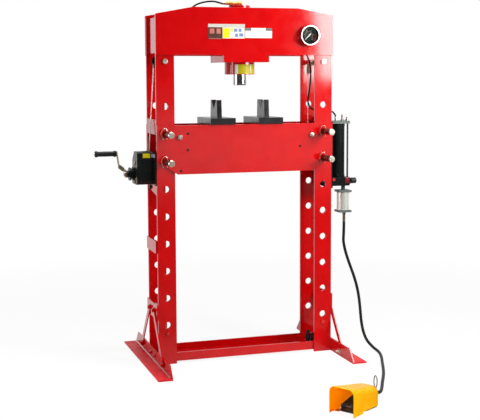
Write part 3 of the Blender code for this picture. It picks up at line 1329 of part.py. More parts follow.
def make_pump_top(half):
    """Top plate with the studs and nuts that stand on it."""
    plate = bmesh.new()
    top = PUMP_TOP_Z + PUMP_TOP_THICK
    add_box(plate, (PUMP_IN_X + FIT, -half, PUMP_TOP_Z), (PUMP_REACH, half, top))
    node = put_mesh("pump_top_plate", plate, GREY_CAST)
    studs = bmesh.new()
    nut = ROD_NUT / 2
    stud = ROD_DIA / 2
    steps = [(-SINK, nut), (ROD_NUT_THICK, nut), (ROD_NUT_THICK, stud), (STUD_RISE, stud)]
    add_stepped(studs, (ROD_X - ROD_NUT / 4, ROD_Y, top), (0.0, 0.0, 1.0), steps, 12)
    steps = [(-SINK, nut), (ROD_NUT_THICK, nut), (ROD_NUT_THICK, stud), (CENTRE_STUD_RISE, stud)]
    add_stepped(studs, (CENTRE_STUD_X, ROD_Y, top), (0.0, 0.0, 1.0), steps, 12)
    weld(node, studs)


def make_knob(face, middle_z):
    """Release knob on the end of the valve."""
    radius = KNOB_DIA / 2
    shank = KNOB_SHANK_DIA / 2
    steps = [
        (0.0, shank), (KNOB_SHANK, shank), (KNOB_SHANK, radius * 0.9), (KNOB_SHANK + 0.003, radius),
        (KNOB_LENGTH - 0.003, radius), (KNOB_LENGTH, radius * 0.85),
    ]
    knob = bmesh.new()
    add_stepped(knob, (0.0, 0.0, 0.0), (1.0, 0.0, 0.0), steps, 20)
    put_mesh("release_knob", knob, BLACK, (face, 0.0, middle_z))


def make_motor():
    """Air motor: a can between two square end plates, a neck up to the base block, and a hose barb below."""
    half = MOTOR_END / 2
    can = bmesh.new()
    low = MOTOR_BOTTOM + MOTOR_END_THICK - SINK
    length = MOTOR_LENGTH - 2 * MOTOR_END_THICK + 2 * SINK
    add_round(can, (0.0, 0.0, low), (0.0, 0.0, 1.0), length, MOTOR_DIA, 32)
    motor = put_mesh("air_motor", can, SILVER, (MOTOR_X, 0.0, 0.0))
    ends = bmesh.new()
    for end_low in (MOTOR_BOTTOM, MOTOR_TOP - MOTOR_END_THICK):
        add_box(ends, (-half, -half, end_low), (half, half, end_low + MOTOR_END_THICK))
    weld(motor, ends)
    fittings = bmesh.new()
    neck = MOTOR_NECK - FIT + SINK
    add_round(fittings, (0.0, 0.0, MOTOR_TOP - SINK), (0.0, 0.0, 1.0), neck, MOTOR_NECK_DIA, 16)
    add_barb(fittings, (BARB_OFFSET, 0.0, MOTOR_BOTTOM), (0.0, 0.0, -1.0), MOTOR_BARB_LENGTH)
    weld(motor, fittings)


def add_barb(shape, base, axis, length):
    """A hose fitting sunk into its seat: a neck, a nut, then a ferrule that the hose butts on."""
    nut = BARB_NUT / 2
    neck = nut * 0.7
    ferrule = BARB_DIA / 2
    steps = [
        (-SINK, neck), (0.004, neck), (0.004, nut), (0.014, nut), (0.014, ferrule), (length, ferrule),
    ]
    add_stepped(shape, base, axis, steps, 12)


def make_pedal():
    """Foot valve: floor plate with ears and pivot pin, open guard, treadle, spring and air valve."""
    half_l = PEDAL_LENGTH / 2
    half_w = PEDAL_WIDTH / 2
    inner_w = half_w - GUARD_WALL - PEDAL_MARGIN
    tongue = TONGUE_WIDTH / 2
    front = -half_l + PEDAL_LIP
    step = front + TONGUE_LENGTH
    rear = half_l - GUARD_REAR_ROUND - PEDAL_MARGIN
    half = [(front, tongue), (step, tongue), (step, inner_w), (rear, inner_w)]
    outline = [(a, -b) for a, b in half] + list(reversed(half))
    floor = bmesh.new()
    add_plate(floor, [outline], PEDAL_FLOOR, (0.0, 0.0, PEDAL_FLOOR / 2), (0.0, 0.0, 0.0))
    base = put_mesh("pedal_base", floor, BLACK, parent=PEDAL)
    ears = bmesh.new()
    ear = EAR_LENGTH / 2
    ear_top = TREADLE_PIVOT_Z + PIVOT_DIA
    for sign in (-1, 1):
        low_y, high_y = sorted((sign * (tongue - FIT), sign * (tongue - EAR_WIDTH)))
        low = (TREADLE_PIVOT_X - ear, low_y, PEDAL_FLOOR - SINK)
        add_box(ears, low, (TREADLE_PIVOT_X + ear, high_y, ear_top))
    weld(base, ears)
    pivot = bmesh.new()
    pin_half = tongue - EAR_WIDTH / 2
    start = (TREADLE_PIVOT_X, -pin_half, TREADLE_PIVOT_Z)
    add_round(pivot, start, (0.0, 1.0, 0.0), 2 * pin_half, PIVOT_DIA, 16)
    weld(base, pivot)
    make_guard(half_l, half_w)
    make_treadle(tongue - EAR_WIDTH - TREADLE_SIDE)
    make_spring()
    box = bmesh.new()
    half = VALVE_BOX_WIDTH / 2
    low = PEDAL_FLOOR + FIT
    add_box(box, (VALVE_REAR - VALVE_BOX_LENGTH, -half, low), (VALVE_REAR, half, low + VALVE_BOX_HEIGHT))
    valve = put_mesh("pedal_valve", box, BLACK, parent=PEDAL)
    barb = bmesh.new()
    add_barb(barb, (VALVE_REAR, 0.0, PEDAL_PORT_Z), (1.0, 0.0, 0.0), BARB_LENGTH)
    weld(valve, barb)


def arch(along_x, half_w, height, foot_w, foot_z):
    """Points of one arch of the guard, foot to foot, with rounded shoulders."""
    points = [(foot_w, foot_z)]
    points += arc(half_w - GUARD_ROUND, height - GUARD_ROUND, GUARD_ROUND, 0.0, pi / 2, 7)
    points += arc(-half_w + GUARD_ROUND, height - GUARD_ROUND, GUARD_ROUND, pi / 2, pi, 7)
    points.append((-foot_w, foot_z))
    return [Vector((along_x, a, b)) for a, b in points]


def make_guard(half_l, half_w):
    """Moulded guard: arches narrowing to the rear, a notched foot, a sloping roof and a rounded rear wall."""
    fall = (PEDAL_FRONT_HEIGHT - PEDAL_REAR_HEIGHT) / PEDAL_LENGTH
    collar_end = -half_l + COLLAR_LENGTH
    turn = GUARD_REAR_ROUND
    lifted = GUARD_FOOT + GUARD_LIFT
    notch = collar_end + GUARD_STEP
    places = [
        (-half_l, COLLAR_OUT, 0.0, 0.0, GUARD_FOOT), (collar_end, COLLAR_OUT * 0.75, 0.0, 0.0, GUARD_FOOT),
        (notch, COLLAR_OUT * 0.72, 0.0, -COLLAR_NOTCH, lifted), (half_l - turn, 0.0, 0.0, 0.0, lifted),
        (half_l - turn * 0.6, -turn * 0.1, 0.0, 0.0, lifted),
        (half_l - turn * 0.25, -turn * 0.35, -turn * 0.2, 0.0, lifted),
        (half_l, -turn, -turn * 0.8, 0.0, lifted),
    ]
    shape = bmesh.new()
    rings = []
    for along_x, out, up, inward, foot_z in places:
        height = PEDAL_FRONT_HEIGHT - fall * (along_x + half_l) + up
        points = arch(along_x, half_w + out, height, half_w + out + inward, foot_z)
        rings.append([shape.verts.new(point) for point in points])
    for first, second in zip(rings, rings[1:]):
        for a, b, c, d in zip(first, first[1:], second[1:], second):
            shape.faces.new((a, b, c, d))
    shape.faces.new(rings[-1])
    guard = put_mesh("pedal_guard", shape, YELLOW, parent=PEDAL)
    wall = guard.modifiers.new("wall", "SOLIDIFY")
    wall.thickness = GUARD_WALL
    wall.offset = -1.0
    port = bmesh.new()
    start = (half_l - 4 * GUARD_WALL, 0.0, PEDAL_PORT_Z)
    add_round(port, start, (1.0, 0.0, 0.0), 8 * GUARD_WALL, BARB_NUT + 4 * FIT, 16)
    cut(guard, port)
    inside = TONGUE_WIDTH / 2 + PEDAL_MARGIN
    in_wall = half_w + COLLAR_OUT * 0.9 - GUARD_WALL
    for sign in (-1, 1):
        low_y, high_y = sorted((sign * inside, sign * in_wall))
        sill = bmesh.new()
        add_box(sill, (-half_l + SILL_BACK, low_y, GUARD_FOOT), (collar_end - SINK, high_y, SILL_TOP))
        weld(guard, sill)


def make_treadle(half):
    """Treadle plate sloping up to the rear, with two knuckles on the pivot pin at its heel."""
    low = TREADLE_KNUCKLE_DIA / 2 - SINK / 2
    shape = bmesh.new()
    add_box(shape, (-TREADLE_HEEL, -half, low), (TREADLE_LENGTH, half, low + TREADLE_THICK))
    place = (TREADLE_PIVOT_X, 0.0, TREADLE_PIVOT_Z)
    treadle = put_mesh("pedal_treadle", shape, BLACK, place, (0.0, -TREADLE_TILT, 0.0), PEDAL)
    knuckles = bmesh.new()
    ring = [circle(0.0, 0.0, TREADLE_KNUCKLE_DIA, 20), circle(0.0, 0.0, PIVOT_DIA + 2 * FIT, 16)]
    offset = half - KNUCKLE_WIDTH / 2 - FIT
    for sign in (-1, 1):
        add_plate(knuckles, ring, KNUCKLE_WIDTH, (0.0, sign * offset, 0.0), UPRIGHT_XZ)
    weld(treadle, knuckles)


def make_spring():
    """Return spring coiled round the pivot pin between the knuckles."""
    radius = PIVOT_DIA / 2 + SPRING_WIRE / 2 + 2 * FIT
    last = SPRING_POINTS * SPRING_TURNS
    coil = []
    for step in range(last + 1):
        turn = 2 * pi * step / SPRING_POINTS
        along_y = SPRING_LENGTH * (step / last - 0.5)
        coil.append((TREADLE_PIVOT_X + radius * cos(turn), along_y, TREADLE_PIVOT_Z + radius * sin(turn)))
    put_tube("pedal_spring", coil, SPRING_WIRE, STEEL, sides_level=1, parent=PEDAL)
    print("spring gap between turns", SPRING_LENGTH / SPRING_TURNS - SPRING_WIRE)


def make_air_hose():
    put_tube("air_hose", smooth_route(AIR_HOSE_ROUTE, 2.6 * AIR_HOSE_DIA), AIR_HOSE_DIA, RUBBER)


def centre_on_footprint():
    """Shift the whole press so that the middle of its footprint, free hose left out, is the world origin."""
    bpy.context.view_layer.update()
    depsgraph = bpy.context.evaluated_depsgraph_get()
    corners = []
    for node in PARTS.objects:
        if node.type == "EMPTY" or node.name == "air_hose":
            continue
        shaped = node.evaluated_get(depsgraph)
        mesh = shaped.to_mesh()
        corners += [shaped.matrix_world @ vert.co for vert in mesh.vertices]
        shaped.to_mesh_clear()
    low = [min(point[axis] for point in corners) for axis in range(3)]
    high = [max(point[axis] for point in corners) for axis in range(3)]
    ROOT.location = (-(low[0] + high[0]) / 2, -(low[1] + high[1]) / 2, -low[2])
    bpy.context.view_layer.update()
    print("middle of the press lies at", tuple(round(value, 6) for value in ROOT.location))


make_posts()
make_head()
make_cylinder()
make_oil_line()
make_gauge()
make_feet()
make_braces()
make_beam()
make_table()
make_blocks()
make_lift()
make_winch()
make_pump()
make_pedal()
make_air_hose()
centre_on_footprint()
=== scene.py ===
"""Finish of the shop press: painted frame, chromed ram, zinc pins, hoses, winch, pump and foot pedal."""

import json
from math import acos, ceil, cos, hypot, pi, radians, sin

import bpy
from mathutils import Matrix, Vector


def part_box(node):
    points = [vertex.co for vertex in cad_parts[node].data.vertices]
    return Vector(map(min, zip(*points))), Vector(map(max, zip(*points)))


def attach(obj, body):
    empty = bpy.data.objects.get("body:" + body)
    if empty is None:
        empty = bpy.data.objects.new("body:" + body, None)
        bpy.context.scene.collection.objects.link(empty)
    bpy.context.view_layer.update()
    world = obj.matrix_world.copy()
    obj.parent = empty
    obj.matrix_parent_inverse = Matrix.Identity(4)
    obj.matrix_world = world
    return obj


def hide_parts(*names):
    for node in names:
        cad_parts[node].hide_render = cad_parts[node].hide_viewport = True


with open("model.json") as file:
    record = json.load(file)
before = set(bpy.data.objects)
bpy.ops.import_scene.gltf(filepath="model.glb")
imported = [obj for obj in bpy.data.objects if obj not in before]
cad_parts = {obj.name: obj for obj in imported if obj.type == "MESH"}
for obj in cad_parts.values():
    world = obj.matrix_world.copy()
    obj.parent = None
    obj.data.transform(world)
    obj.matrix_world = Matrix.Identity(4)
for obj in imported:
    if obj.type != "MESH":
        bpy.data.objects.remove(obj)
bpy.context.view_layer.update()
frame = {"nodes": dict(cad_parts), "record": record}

NODES = frame["nodes"]
BODY_OF = {node: body for body, nodes in frame["record"]["behaviour"]["bodies"].items() for node in nodes}
SLOT_OF = {row["node"]: row["material_slot"] for row in frame["record"]["subparts"]}

# Middle of the posts on the floor, in the row's frame
MIDDLE = Vector((0.04565, 0.400855, 0.0))


def at(x, y, z):
    """A place given from the middle of the posts."""
    return MIDDLE + Vector((x, y, z))


# Directions
UP = (0.0, 0.0, 1.0)
FRONT = (0.0, -1.0, 0.0)
LEFT = (-1.0, 0.0, 0.0)
RIGHT = (1.0, 0.0, 0.0)

# Camera: place from the middle of the posts, turns right, down and anticlockwise in degrees, lens in mm
CAMERA_PLACE = (-1.697, -5.309, 1.463)
CAMERA_YAW = 17.70
CAMERA_PITCH = 5.53
CAMERA_ROLL = -0.25
SENSOR_WIDTH = 36.0
LENS = 79.5
SHIFT_X = 0.001
SHIFT_Y = -0.06


def set_camera():
    """Camera at the photograph's angle: a little to the left, at head height, looking slightly down."""
    data = bpy.data.cameras.new("photo_camera")
    data.sensor_width = SENSOR_WIDTH
    data.lens = LENS
    data.shift_x = SHIFT_X
    data.shift_y = SHIFT_Y
    camera = bpy.data.objects.new("photo_camera", data)
    bpy.context.scene.collection.objects.link(camera)
    yaw = radians(CAMERA_YAW)
    pitch = radians(CAMERA_PITCH)
    roll = radians(CAMERA_ROLL)
    forward = Vector((sin(yaw) * cos(pitch), cos(yaw) * cos(pitch), -sin(pitch)))
    level = Vector((cos(yaw), -sin(yaw), 0.0))
    upright = level.cross(forward)
    right = level * cos(roll) + upright * sin(roll)
    up = upright * cos(roll) - level * sin(roll)
    turn = Matrix((right, up, -forward)).transposed().to_4x4()
    camera.matrix_world = Matrix.Translation(at(*CAMERA_PLACE)) @ turn
    bpy.context.scene.camera = camera


def deselect():
    """Object mode, with nothing selected."""
    if bpy.context.mode != "OBJECT":
        bpy.ops.object.mode_set(mode="OBJECT")
    bpy.ops.object.select_all(action="DESELECT")


def only(piece):
    """Make one object the only selected and active one."""
    deselect()
    piece.select_set(True)
    bpy.context.view_layer.objects.active = piece


class Nodes:
    """A node tree with short ways to add a node and to link two."""

    def __init__(self, tree):
        self.tree = tree

    def node(self, kind, **values):
        """A new node with some of its inputs or settings set."""
        made = self.tree.nodes.new(kind)
        for key, value in values.items():
            if key in made.inputs:
                made.inputs[key].default_value = value
            else:
                setattr(made, key, value)
        return made

    def link(self, source, output, target, socket):
        """Link an output of one node to an input of another."""
        self.tree.links.new(source.outputs[output], target.inputs[socket])


class Finish(Nodes):
    """A procedural material: two tints mottled by noise, a roughness that follows them, and a fine bump."""

    def __init__(self, name, roughness=0.4, metallic=0.0):
        self.material = bpy.data.materials.new(name)
        self.material.use_nodes = True
        super().__init__(self.material.node_tree)
        self.shader = self.tree.nodes["Principled BSDF"]
        self.shader.inputs["Roughness"].default_value = roughness
        self.shader.inputs["Metallic"].default_value = metallic
        self.place = self.node("ShaderNodeTexCoord")

    def stretched(self, scale):
        """Object coordinates scaled by axis, for a grain that runs one way."""
        mapping = self.node("ShaderNodeMapping")
        mapping.inputs["Scale"].default_value = scale
        self.link(self.place, "Object", mapping, "Vector")
        return mapping

    def noise(self, scale, detail, stretch):
        """Noise in Object coordinates, stretched if asked."""
        made = self.node("ShaderNodeTexNoise", Scale=scale, Detail=detail)
        if stretch is None:
            self.link(self.place, "Object", made, "Vector")
        else:
            self.link(self.stretched(stretch), "Vector", made, "Vector")
        return made

    def tints(self, low, high, scale, detail, stretch=None):
        """Colour between two tints, by a noise."""
        ramp = self.node("ShaderNodeValToRGB")
        for stop, position, tint in zip(ramp.color_ramp.elements, (0.35, 0.65), (low, high)):
            stop.position = position
            stop.color = (*tint, 1.0)
        self.link(self.noise(scale, detail, stretch), "Fac", ramp, "Fac")
        self.link(ramp, "Color", self.shader, "Base Color")

    def gloss(self, low, high, scale, stretch=None):
        """Roughness between two values, by a noise."""
        spread = self.node("ShaderNodeMapRange")
        for socket, value in (("From Min", 0.3), ("From Max", 0.7), ("To Min", low), ("To Max", high)):
            spread.inputs[socket].default_value = value
        self.link(self.noise(scale, 4.0, stretch), "Fac", spread, "Value")
        self.link(spread, "Result", self.shader, "Roughness")

    def grain(self, scale, strength, distance=0.0004, stretch=None):
        """A fine bump, by a noise."""
        bump = self.node("ShaderNodeBump", Strength=strength, Distance=distance)
        self.link(self.noise(scale, 2.0, stretch), "Fac", bump, "Height")
        self.link(bump, "Normal", self.shader, "Normal")


def paint(name, low, high, rough, peel=0.03, shine=0.5):
    """Paint between two tints, with a range of roughness, a little peel and a shine."""
    made = Finish(name)
    made.shader.inputs["Specular IOR Level"].default_value = shine
    made.tints(low, high, 9.0, 4.0)
    made.gloss(rough[0], rough[1], 24.0)
    made.grain(420.0, peel)
    return made.material


def metal(name, low, high, rough, scale, stretch=None, grain=0.04, share=1.0):
    """Bare or plated metal; a share below one is for a dull or dirty one."""
    made = Finish(name, metallic=share)
    made.tints(low, high, scale, 4.0, stretch)
    made.gloss(rough[0], rough[1], scale * 2.0, stretch)
    made.grain(scale * 9.0, grain, stretch=stretch)
    return made.material


def moulded(name, low, high, rough, grain=0.12, shine=0.25):
    """Plastic, rubber or a printed label."""
    made = Finish(name)
    made.shader.inputs["Specular IOR Level"].default_value = shine
    made.tints(low, high, 14.0, 3.0)
    made.gloss(rough[0], rough[1], 60.0)
    made.grain(900.0, grain, 0.0002)
    return made.material


# Stretch of a brushed grain that runs upright
UPRIGHT_GRAIN = (1.0, 1.0, 0.04)

RED = paint("red_paint", (0.46, 0.0010, 0.0018), (0.51, 0.0018, 0.0026), (0.08, 0.14))
# Lighter red for the upward face of the feet's floor legs: painted light; this paint is also rougher
RED_PAINTED_LIGHT = paint("red_paint_painted_light", (0.58, 0.010, 0.014), (0.68, 0.022, 0.028), (0.40, 0.55), 0.08, 0.2)
BLACK = paint("black_paint", (0.004, 0.005, 0.005), (0.007, 0.009, 0.008), (0.22, 0.32), 0.006, 0.16)
MAROON = paint("maroon_paint", (0.11, 0.004, 0.008), (0.15, 0.006, 0.011), (0.22, 0.32))
BLOCK = paint("blackened_steel", (0.006, 0.006, 0.006), (0.010, 0.010, 0.010), (0.18, 0.28), 0.04, 0.5)
DARK_BOLT = metal("dark_bolt", (0.020, 0.021, 0.022), (0.045, 0.045, 0.045), (0.4, 0.55), 60.0)
ZINC = metal("zinc_plate", (0.72, 0.67, 0.56), (0.86, 0.81, 0.69), (0.26, 0.40), 60.0)
# Dark steel for the shanks of the table pins: painted shade and dark reflection
SHANK_PAINTED_SHADE = metal("pin_steel_painted_shade", (0.10, 0.075, 0.06), (0.20, 0.16, 0.13), (0.24, 0.36), 50.0)
CHROME = metal("chromed_steel", (0.54, 0.54, 0.55), (0.62, 0.62, 0.63), (0.05, 0.11), 50.0, grain=0.01)
BEZEL = metal("polished_ring", (0.68, 0.60, 0.56), (0.76, 0.69, 0.64), (0.22, 0.32), 40.0, grain=0.01)
STEEL = metal("bright_steel", (0.36, 0.35, 0.33), (0.50, 0.48, 0.45), (0.28, 0.42), 80.0)
ROPE = metal("wire_rope", (0.66, 0.62, 0.58), (0.80, 0.77, 0.73), (0.34, 0.48), 120.0, share=0.45)
WIRE = metal("browned_wire", (0.13, 0.085, 0.045), (0.21, 0.145, 0.08), (0.35, 0.5), 60.0, share=0.4)
ROD = metal("dark_steel", (0.10, 0.085, 0.08), (0.19, 0.17, 0.16), (0.28, 0.42), 80.0)
BRONZED = metal("yellowed_zinc", (0.20, 0.16, 0.07), (0.36, 0.30, 0.15), (0.26, 0.40), 50.0)
SLEEVE = moulded("olive_sleeve", (0.055, 0.045, 0.014), (0.085, 0.070, 0.026), (0.4, 0.55))
BRASS = metal("brass", (0.60, 0.32, 0.09), (0.76, 0.44, 0.15), (0.22, 0.36), 70.0)
CAST = paint("grey_casting", (0.072, 0.090, 0.083), (0.108, 0.126, 0.117), (0.45, 0.6), 0.2)
SILVER = metal(
    "brushed_can", (0.70, 0.72, 0.65), (0.82, 0.84, 0.77), (0.26, 0.38), 30.0, UPRIGHT_GRAIN, share=0.65,
)
RUBBER = moulded("black_rubber", (0.007, 0.006, 0.006), (0.012, 0.011, 0.011), (0.42, 0.56), shine=0.14)
PLASTIC = moulded("black_plastic", (0.010, 0.010, 0.011), (0.018, 0.018, 0.019), (0.36, 0.5))
YELLOW = moulded("yellow_plastic", (0.98, 0.31, 0.0), (1.0, 0.36, 0.0005), (0.24, 0.34), 0.05, shine=0.06)
# Deeper orange for the inner faces of the pedal's guard: painted light, the orange glow that light takes
# inside the thin yellow wall
PAINTED_GLOW_YELLOW = moulded(
    "yellow_plastic_inside_painted_glow", (1.0, 0.18, 0.0), (1.0, 0.21, 0.0), (0.34, 0.46), 0.05, shine=0.06,
)
DIAL = moulded("dial_black", (0.006, 0.008, 0.007), (0.011, 0.013, 0.012), (0.7, 0.8), 0.02)
MARK = moulded("dial_mark", (0.20, 0.21, 0.19), (0.26, 0.27, 0.25), (0.6, 0.7), 0.02)
WHITE = moulded("needle_white", (0.80, 0.80, 0.78), (0.86, 0.86, 0.84), (0.4, 0.5), 0.02)
GREEN = moulded("dial_green", (0.03, 0.10, 0.035), (0.04, 0.13, 0.05), (0.4, 0.5), 0.02)
AMBER = moulded("dial_amber", (0.22, 0.11, 0.04), (0.28, 0.15, 0.06), (0.4, 0.5), 0.02)
SIGNAL = moulded("dial_red", (0.52, 0.012, 0.010), (0.60, 0.018, 0.014), (0.4, 0.5), 0.02)
LABEL_GREY = moulded("label_grey", (0.46, 0.44, 0.40), (0.53, 0.51, 0.46), (0.35, 0.5), 0.02)
LABEL_BROWN = moulded("label_brown", (0.055, 0.018, 0.012), (0.075, 0.026, 0.017), (0.35, 0.5), 0.02)
LABEL_YELLOW = moulded("label_yellow", (0.80, 0.62, 0.002), (0.88, 0.70, 0.006), (0.3, 0.42), 0.02)
# A darker copy of the sticker yellow, for the barrel's label: painted shade
LABEL_YELLOW_SHADED = moulded("label_yellow_painted_shade", (0.36, 0.31, 0.0008), (0.42, 0.37, 0.0016), (0.35, 0.5), 0.02)
LABEL_WHITE = moulded("label_white", (0.58, 0.58, 0.55), (0.66, 0.66, 0.62), (0.35, 0.5), 0.02)
LABEL_ROSE = moulded("label_rose", (0.42, 0.12, 0.09), (0.49, 0.16, 0.12), (0.35, 0.5), 0.02)
WINCH_GREY = moulded("label_blue_grey", (0.23, 0.25, 0.31), (0.30, 0.32, 0.38), (0.35, 0.5), 0.02)
# Red lightened towards orange for the plugs low on the posts: a painted highlight
PLUG_PAINTED_HIGHLIGHT = moulded("post_plug_painted_highlight", (0.52, 0.020, 0.008), (0.62, 0.032, 0.012), (0.3, 0.4), 0.04)
LABEL_BLUE = moulded("label_blue", (0.12, 0.20, 0.42), (0.16, 0.26, 0.49), (0.35, 0.5), 0.02)


def glass():
    """Thin clear glass that hardly bends the light."""
    made = Finish("gauge_glass", roughness=0.02)
    made.shader.inputs["Base Color"].default_value = (0.95, 0.97, 0.97, 1.0)
    made.shader.inputs["Transmission Weight"].default_value = 1.0
    made.shader.inputs["IOR"].default_value = 1.08
    made.grain(30.0, 0.01)
    return made.material


GLASS = glass()


def soak(coat, weight, scale, radius):
    """Light soaks through a thin wall of this finish."""
    shader = coat.node_tree.nodes["Principled BSDF"]
    shader.inputs["Subsurface Weight"].default_value = weight
    shader.inputs["Subsurface Scale"].default_value = scale
    shader.inputs["Subsurface Radius"].default_value = radius


soak(YELLOW, 0.8, 0.02, (1.0, 0.6, 0.05))
soak(PAINTED_GLOW_YELLOW, 1.0, 0.03, (1.0, 0.5, 0.02))

# Finish of each material slot
FINISH = {
    "red_paint": RED, "black_paint": BLACK, "blackened_steel": BLOCK, "zinc_plate": ZINC,
    "chromed_steel": CHROME, "brass": BRASS, "black_rubber": RUBBER, "grey_cast": CAST,
    "silver_can": SILVER, "yellow_plastic": YELLOW, "black_plastic": PLASTIC, "dial_black": DIAL,
    "needle_white": WHITE, "gauge_glass": GLASS, "plain_steel": STEEL,
}


def own(piece, coat, body="frame"):
    """Give a finished piece its surface and the body it rides on."""
    piece.data.materials.clear()
    piece.data.materials.append(coat)
    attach(piece, body)


def settle(piece, frame_of_piece=None, smooth=35):
    """Freeze a new piece where it stands, with clean normals and smooth shading between its sharp edges."""
    if frame_of_piece is not None:
        piece.matrix_world = frame_of_piece @ piece.matrix_world
    only(piece)
    bpy.ops.object.transform_apply(location=True, rotation=True, scale=True)
    bpy.ops.object.mode_set(mode="EDIT")
    bpy.ops.mesh.select_all(action="SELECT")
    bpy.ops.mesh.remove_doubles(threshold=0.000002)
    bpy.ops.mesh.normals_make_consistent(inside=False)
    bpy.ops.object.mode_set(mode="OBJECT")
    bpy.ops.object.shade_smooth_by_angle(angle=radians(smooth))
    return piece


def along(base, axis):
    """Frame whose z runs along an axis from a base point."""
    turn = Vector(UP).rotation_difference(Vector(axis))
    return Matrix.Translation(base) @ turn.to_matrix().to_4x4()


def lathe(name, base, axis, steps, sides, hollow=False, smooth=35):
    """A turned or hexagonal piece: a circle extruded and scaled through (height, radius) steps."""
    deselect()
    first_height, first_radius = steps[0]
    kind = "NOTHING" if hollow else "NGON"
    bpy.ops.mesh.primitive_circle_add(vertices=sides, radius=first_radius, fill_type=kind)
    piece = bpy.context.object
    piece.name = name
    bpy.ops.object.mode_set(mode="EDIT")
    bpy.ops.mesh.select_all(action="SELECT")
    for (low, inner), (high, outer) in zip(steps, steps[1:]):
        bpy.ops.mesh.extrude_region_move(TRANSFORM_OT_translate={"value": (0.0, 0.0, high - low)})
        grow = outer / inner
        bpy.ops.transform.resize(value=(grow, grow, 1.0), center_override=(0.0, 0.0, high - first_height))
    bpy.ops.object.mode_set(mode="OBJECT")
    lift = Matrix.Translation((0.0, 0.0, first_height))
    return settle(piece, along(base, axis) @ lift, smooth)


RING_EDGE = 0.0006


def ring(name, base, axis, low, high, inner, outer, sides=40):
    """A flat ring with broken outer edges: washer, shell or band."""
    steps = [
        (low, inner), (low, outer - RING_EDGE), (low + RING_EDGE, outer), (high - RING_EDGE, outer),
        (high, outer - RING_EDGE), (high, inner), (low, inner),
    ]
    return lathe(name, base, axis, steps, sides, hollow=True)


def slab(name, low, high, edge, segments=2, frame_of_piece=None):
    """A box between two corners with its edges broken."""
    low = Vector(low)
    high = Vector(high)
    deselect()
    bpy.ops.mesh.primitive_cube_add(size=1.0, location=(low + high) / 2, scale=high - low)
    piece = bpy.context.object
    piece.name = name
    bpy.ops.object.transform_apply(location=True, rotation=True, scale=True)
    bpy.ops.object.mode_set(mode="EDIT")
    bpy.ops.mesh.select_all(action="SELECT")
    bpy.ops.mesh.bevel(offset=edge, segments=segments, affect="EDGES")
    bpy.ops.object.mode_set(mode="OBJECT")
    return settle(piece, frame_of_piece)


def joined(pieces, name):
    """Several pieces of one finish as one object."""
    deselect()
    for piece in pieces:
        piece.select_set(True)
    bpy.context.view_layer.objects.active = pieces[0]
    bpy.ops.object.join()
    piece = bpy.context.object
    piece.name = name
    return piece


def hex_bolt(name, base, axis, across, height, washer):
    """A hexagon head with a chamfered crown, on a washer of a given radius."""
    radius = across / 3 ** 0.5
    head = [(0.0, radius), (height * 0.75, radius), (height, radius * 0.86)]
    crown = lathe(name, base, axis, head, 6, smooth=20)
    seat = ring(name + "_washer", base, axis, 0.0, 0.0016, radius * 0.8, washer)
    return joined([crown, seat], name)


def smooth_route(route, spacing):
    """Points every spacing or so along a smooth curve through a route's own points."""
    ends = [2 * route[0] - route[1], 2 * route[-1] - route[-2]]
    knots = [ends[0]] + list(route) + [ends[1]]
    points = [knots[1]]
    for a, b, c, d in zip(knots, knots[1:], knots[2:], knots[3:]):
        pieces = max(1, ceil((c - b).length / spacing))
        for piece in range(1, pieces + 1):
            t = piece / pieces
            square = (2 * a - 5 * b + 4 * c - d) * t * t
            cube = (3 * b - 3 * c + d - a) * t ** 3
            points.append((2 * b + (c - a) * t + square + cube) / 2)
    return points


def line_curve(name, routes, diameter, level):
    """A curve object of one or more round lines."""
    curve = bpy.data.curves.new(name, "CURVE")
    curve.dimensions = "3D"
    curve.bevel_depth = diameter / 2
    curve.bevel_resolution = level
    curve.use_fill_caps = True
    for points in routes:
        spline = curve.splines.new("POLY")
        spline.points.add(len(points) - 1)
        for point, place in zip(spline.points, points):
            point.co = (*place, 1.0)
    line = bpy.data.objects.new(name, curve)
    bpy.context.scene.collection.objects.link(line)
    return line


def line_mesh(name, routes, diameter, level):
    """The same lines turned into a mesh."""
    line = line_curve(name, routes, diameter, level)
    only(line)
    bpy.ops.object.convert(target="MESH")
    return settle(bpy.context.object, smooth=60)


# Air hose: hangs from the pump's motor, lands beside the right foot and lies on the floor to the pedal
AIR_HOSE_DIA = 0.0155
AIR_HOSE_ROUTE = [
    (0.596, 0.0, 0.6817), (0.596, 0.0, 0.6517), (0.594, -0.002, 0.615), (0.592, -0.005, 0.575),
    (0.598, -0.012, 0.530), (0.610, -0.020, 0.482), (0.625, -0.030, 0.432), (0.639, -0.040, 0.386),
    (0.649, -0.052, 0.340), (0.655, -0.065, 0.293), (0.657, -0.078, 0.246), (0.657, -0.090, 0.200),
    (0.656, -0.106, 0.147), (0.660, -0.124, 0.094), (0.672, -0.144, 0.050), (0.692, -0.176, 0.018),
    (0.6970, -0.220, 0.0090), (0.686, -0.280, 0.0081), (0.660, -0.355, 0.0081), (0.624, -0.440, 0.0081),
    (0.586, -0.530, 0.0081), (0.546, -0.620, 0.0081), (0.506, -0.700, 0.0081), (0.466, -0.776, 0.0081),
    (0.428, -0.850, 0.0084), (0.396, -0.908, 0.0112), (0.366, -0.952, 0.0188), (0.344, -0.984, 0.0300),
]
HOSE_SPACING = 0.006

# Pedal: its place and turn on the floor, and the end of the hose in its own frame
PEDAL_PLACE = (0.1801, -1.0994)
PEDAL_TURN = radians(31.9)
PEDAL_PORT_Z = 0.040
HOSE_END = 0.1373
PEDAL_FRAME = Matrix.Translation(at(*PEDAL_PLACE, 0.0)) @ Matrix.Rotation(PEDAL_TURN, 4, "Z")


def make_air_hose():
    """The air hose, with a straight end on the pedal's barb."""
    route = [at(*point) for point in AIR_HOSE_ROUTE]
    for reach in (HOSE_END + 2 * AIR_HOSE_DIA, HOSE_END):
        route.append(PEDAL_FRAME @ Vector((reach, 0.0, PEDAL_PORT_Z)))
    points = smooth_route(route, HOSE_SPACING)
    hose = line_curve("air_line", [points], AIR_HOSE_DIA, 6)
    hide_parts("air_hose")
    own(hose, RUBBER)


EDGE_WIDTH = 0.0012


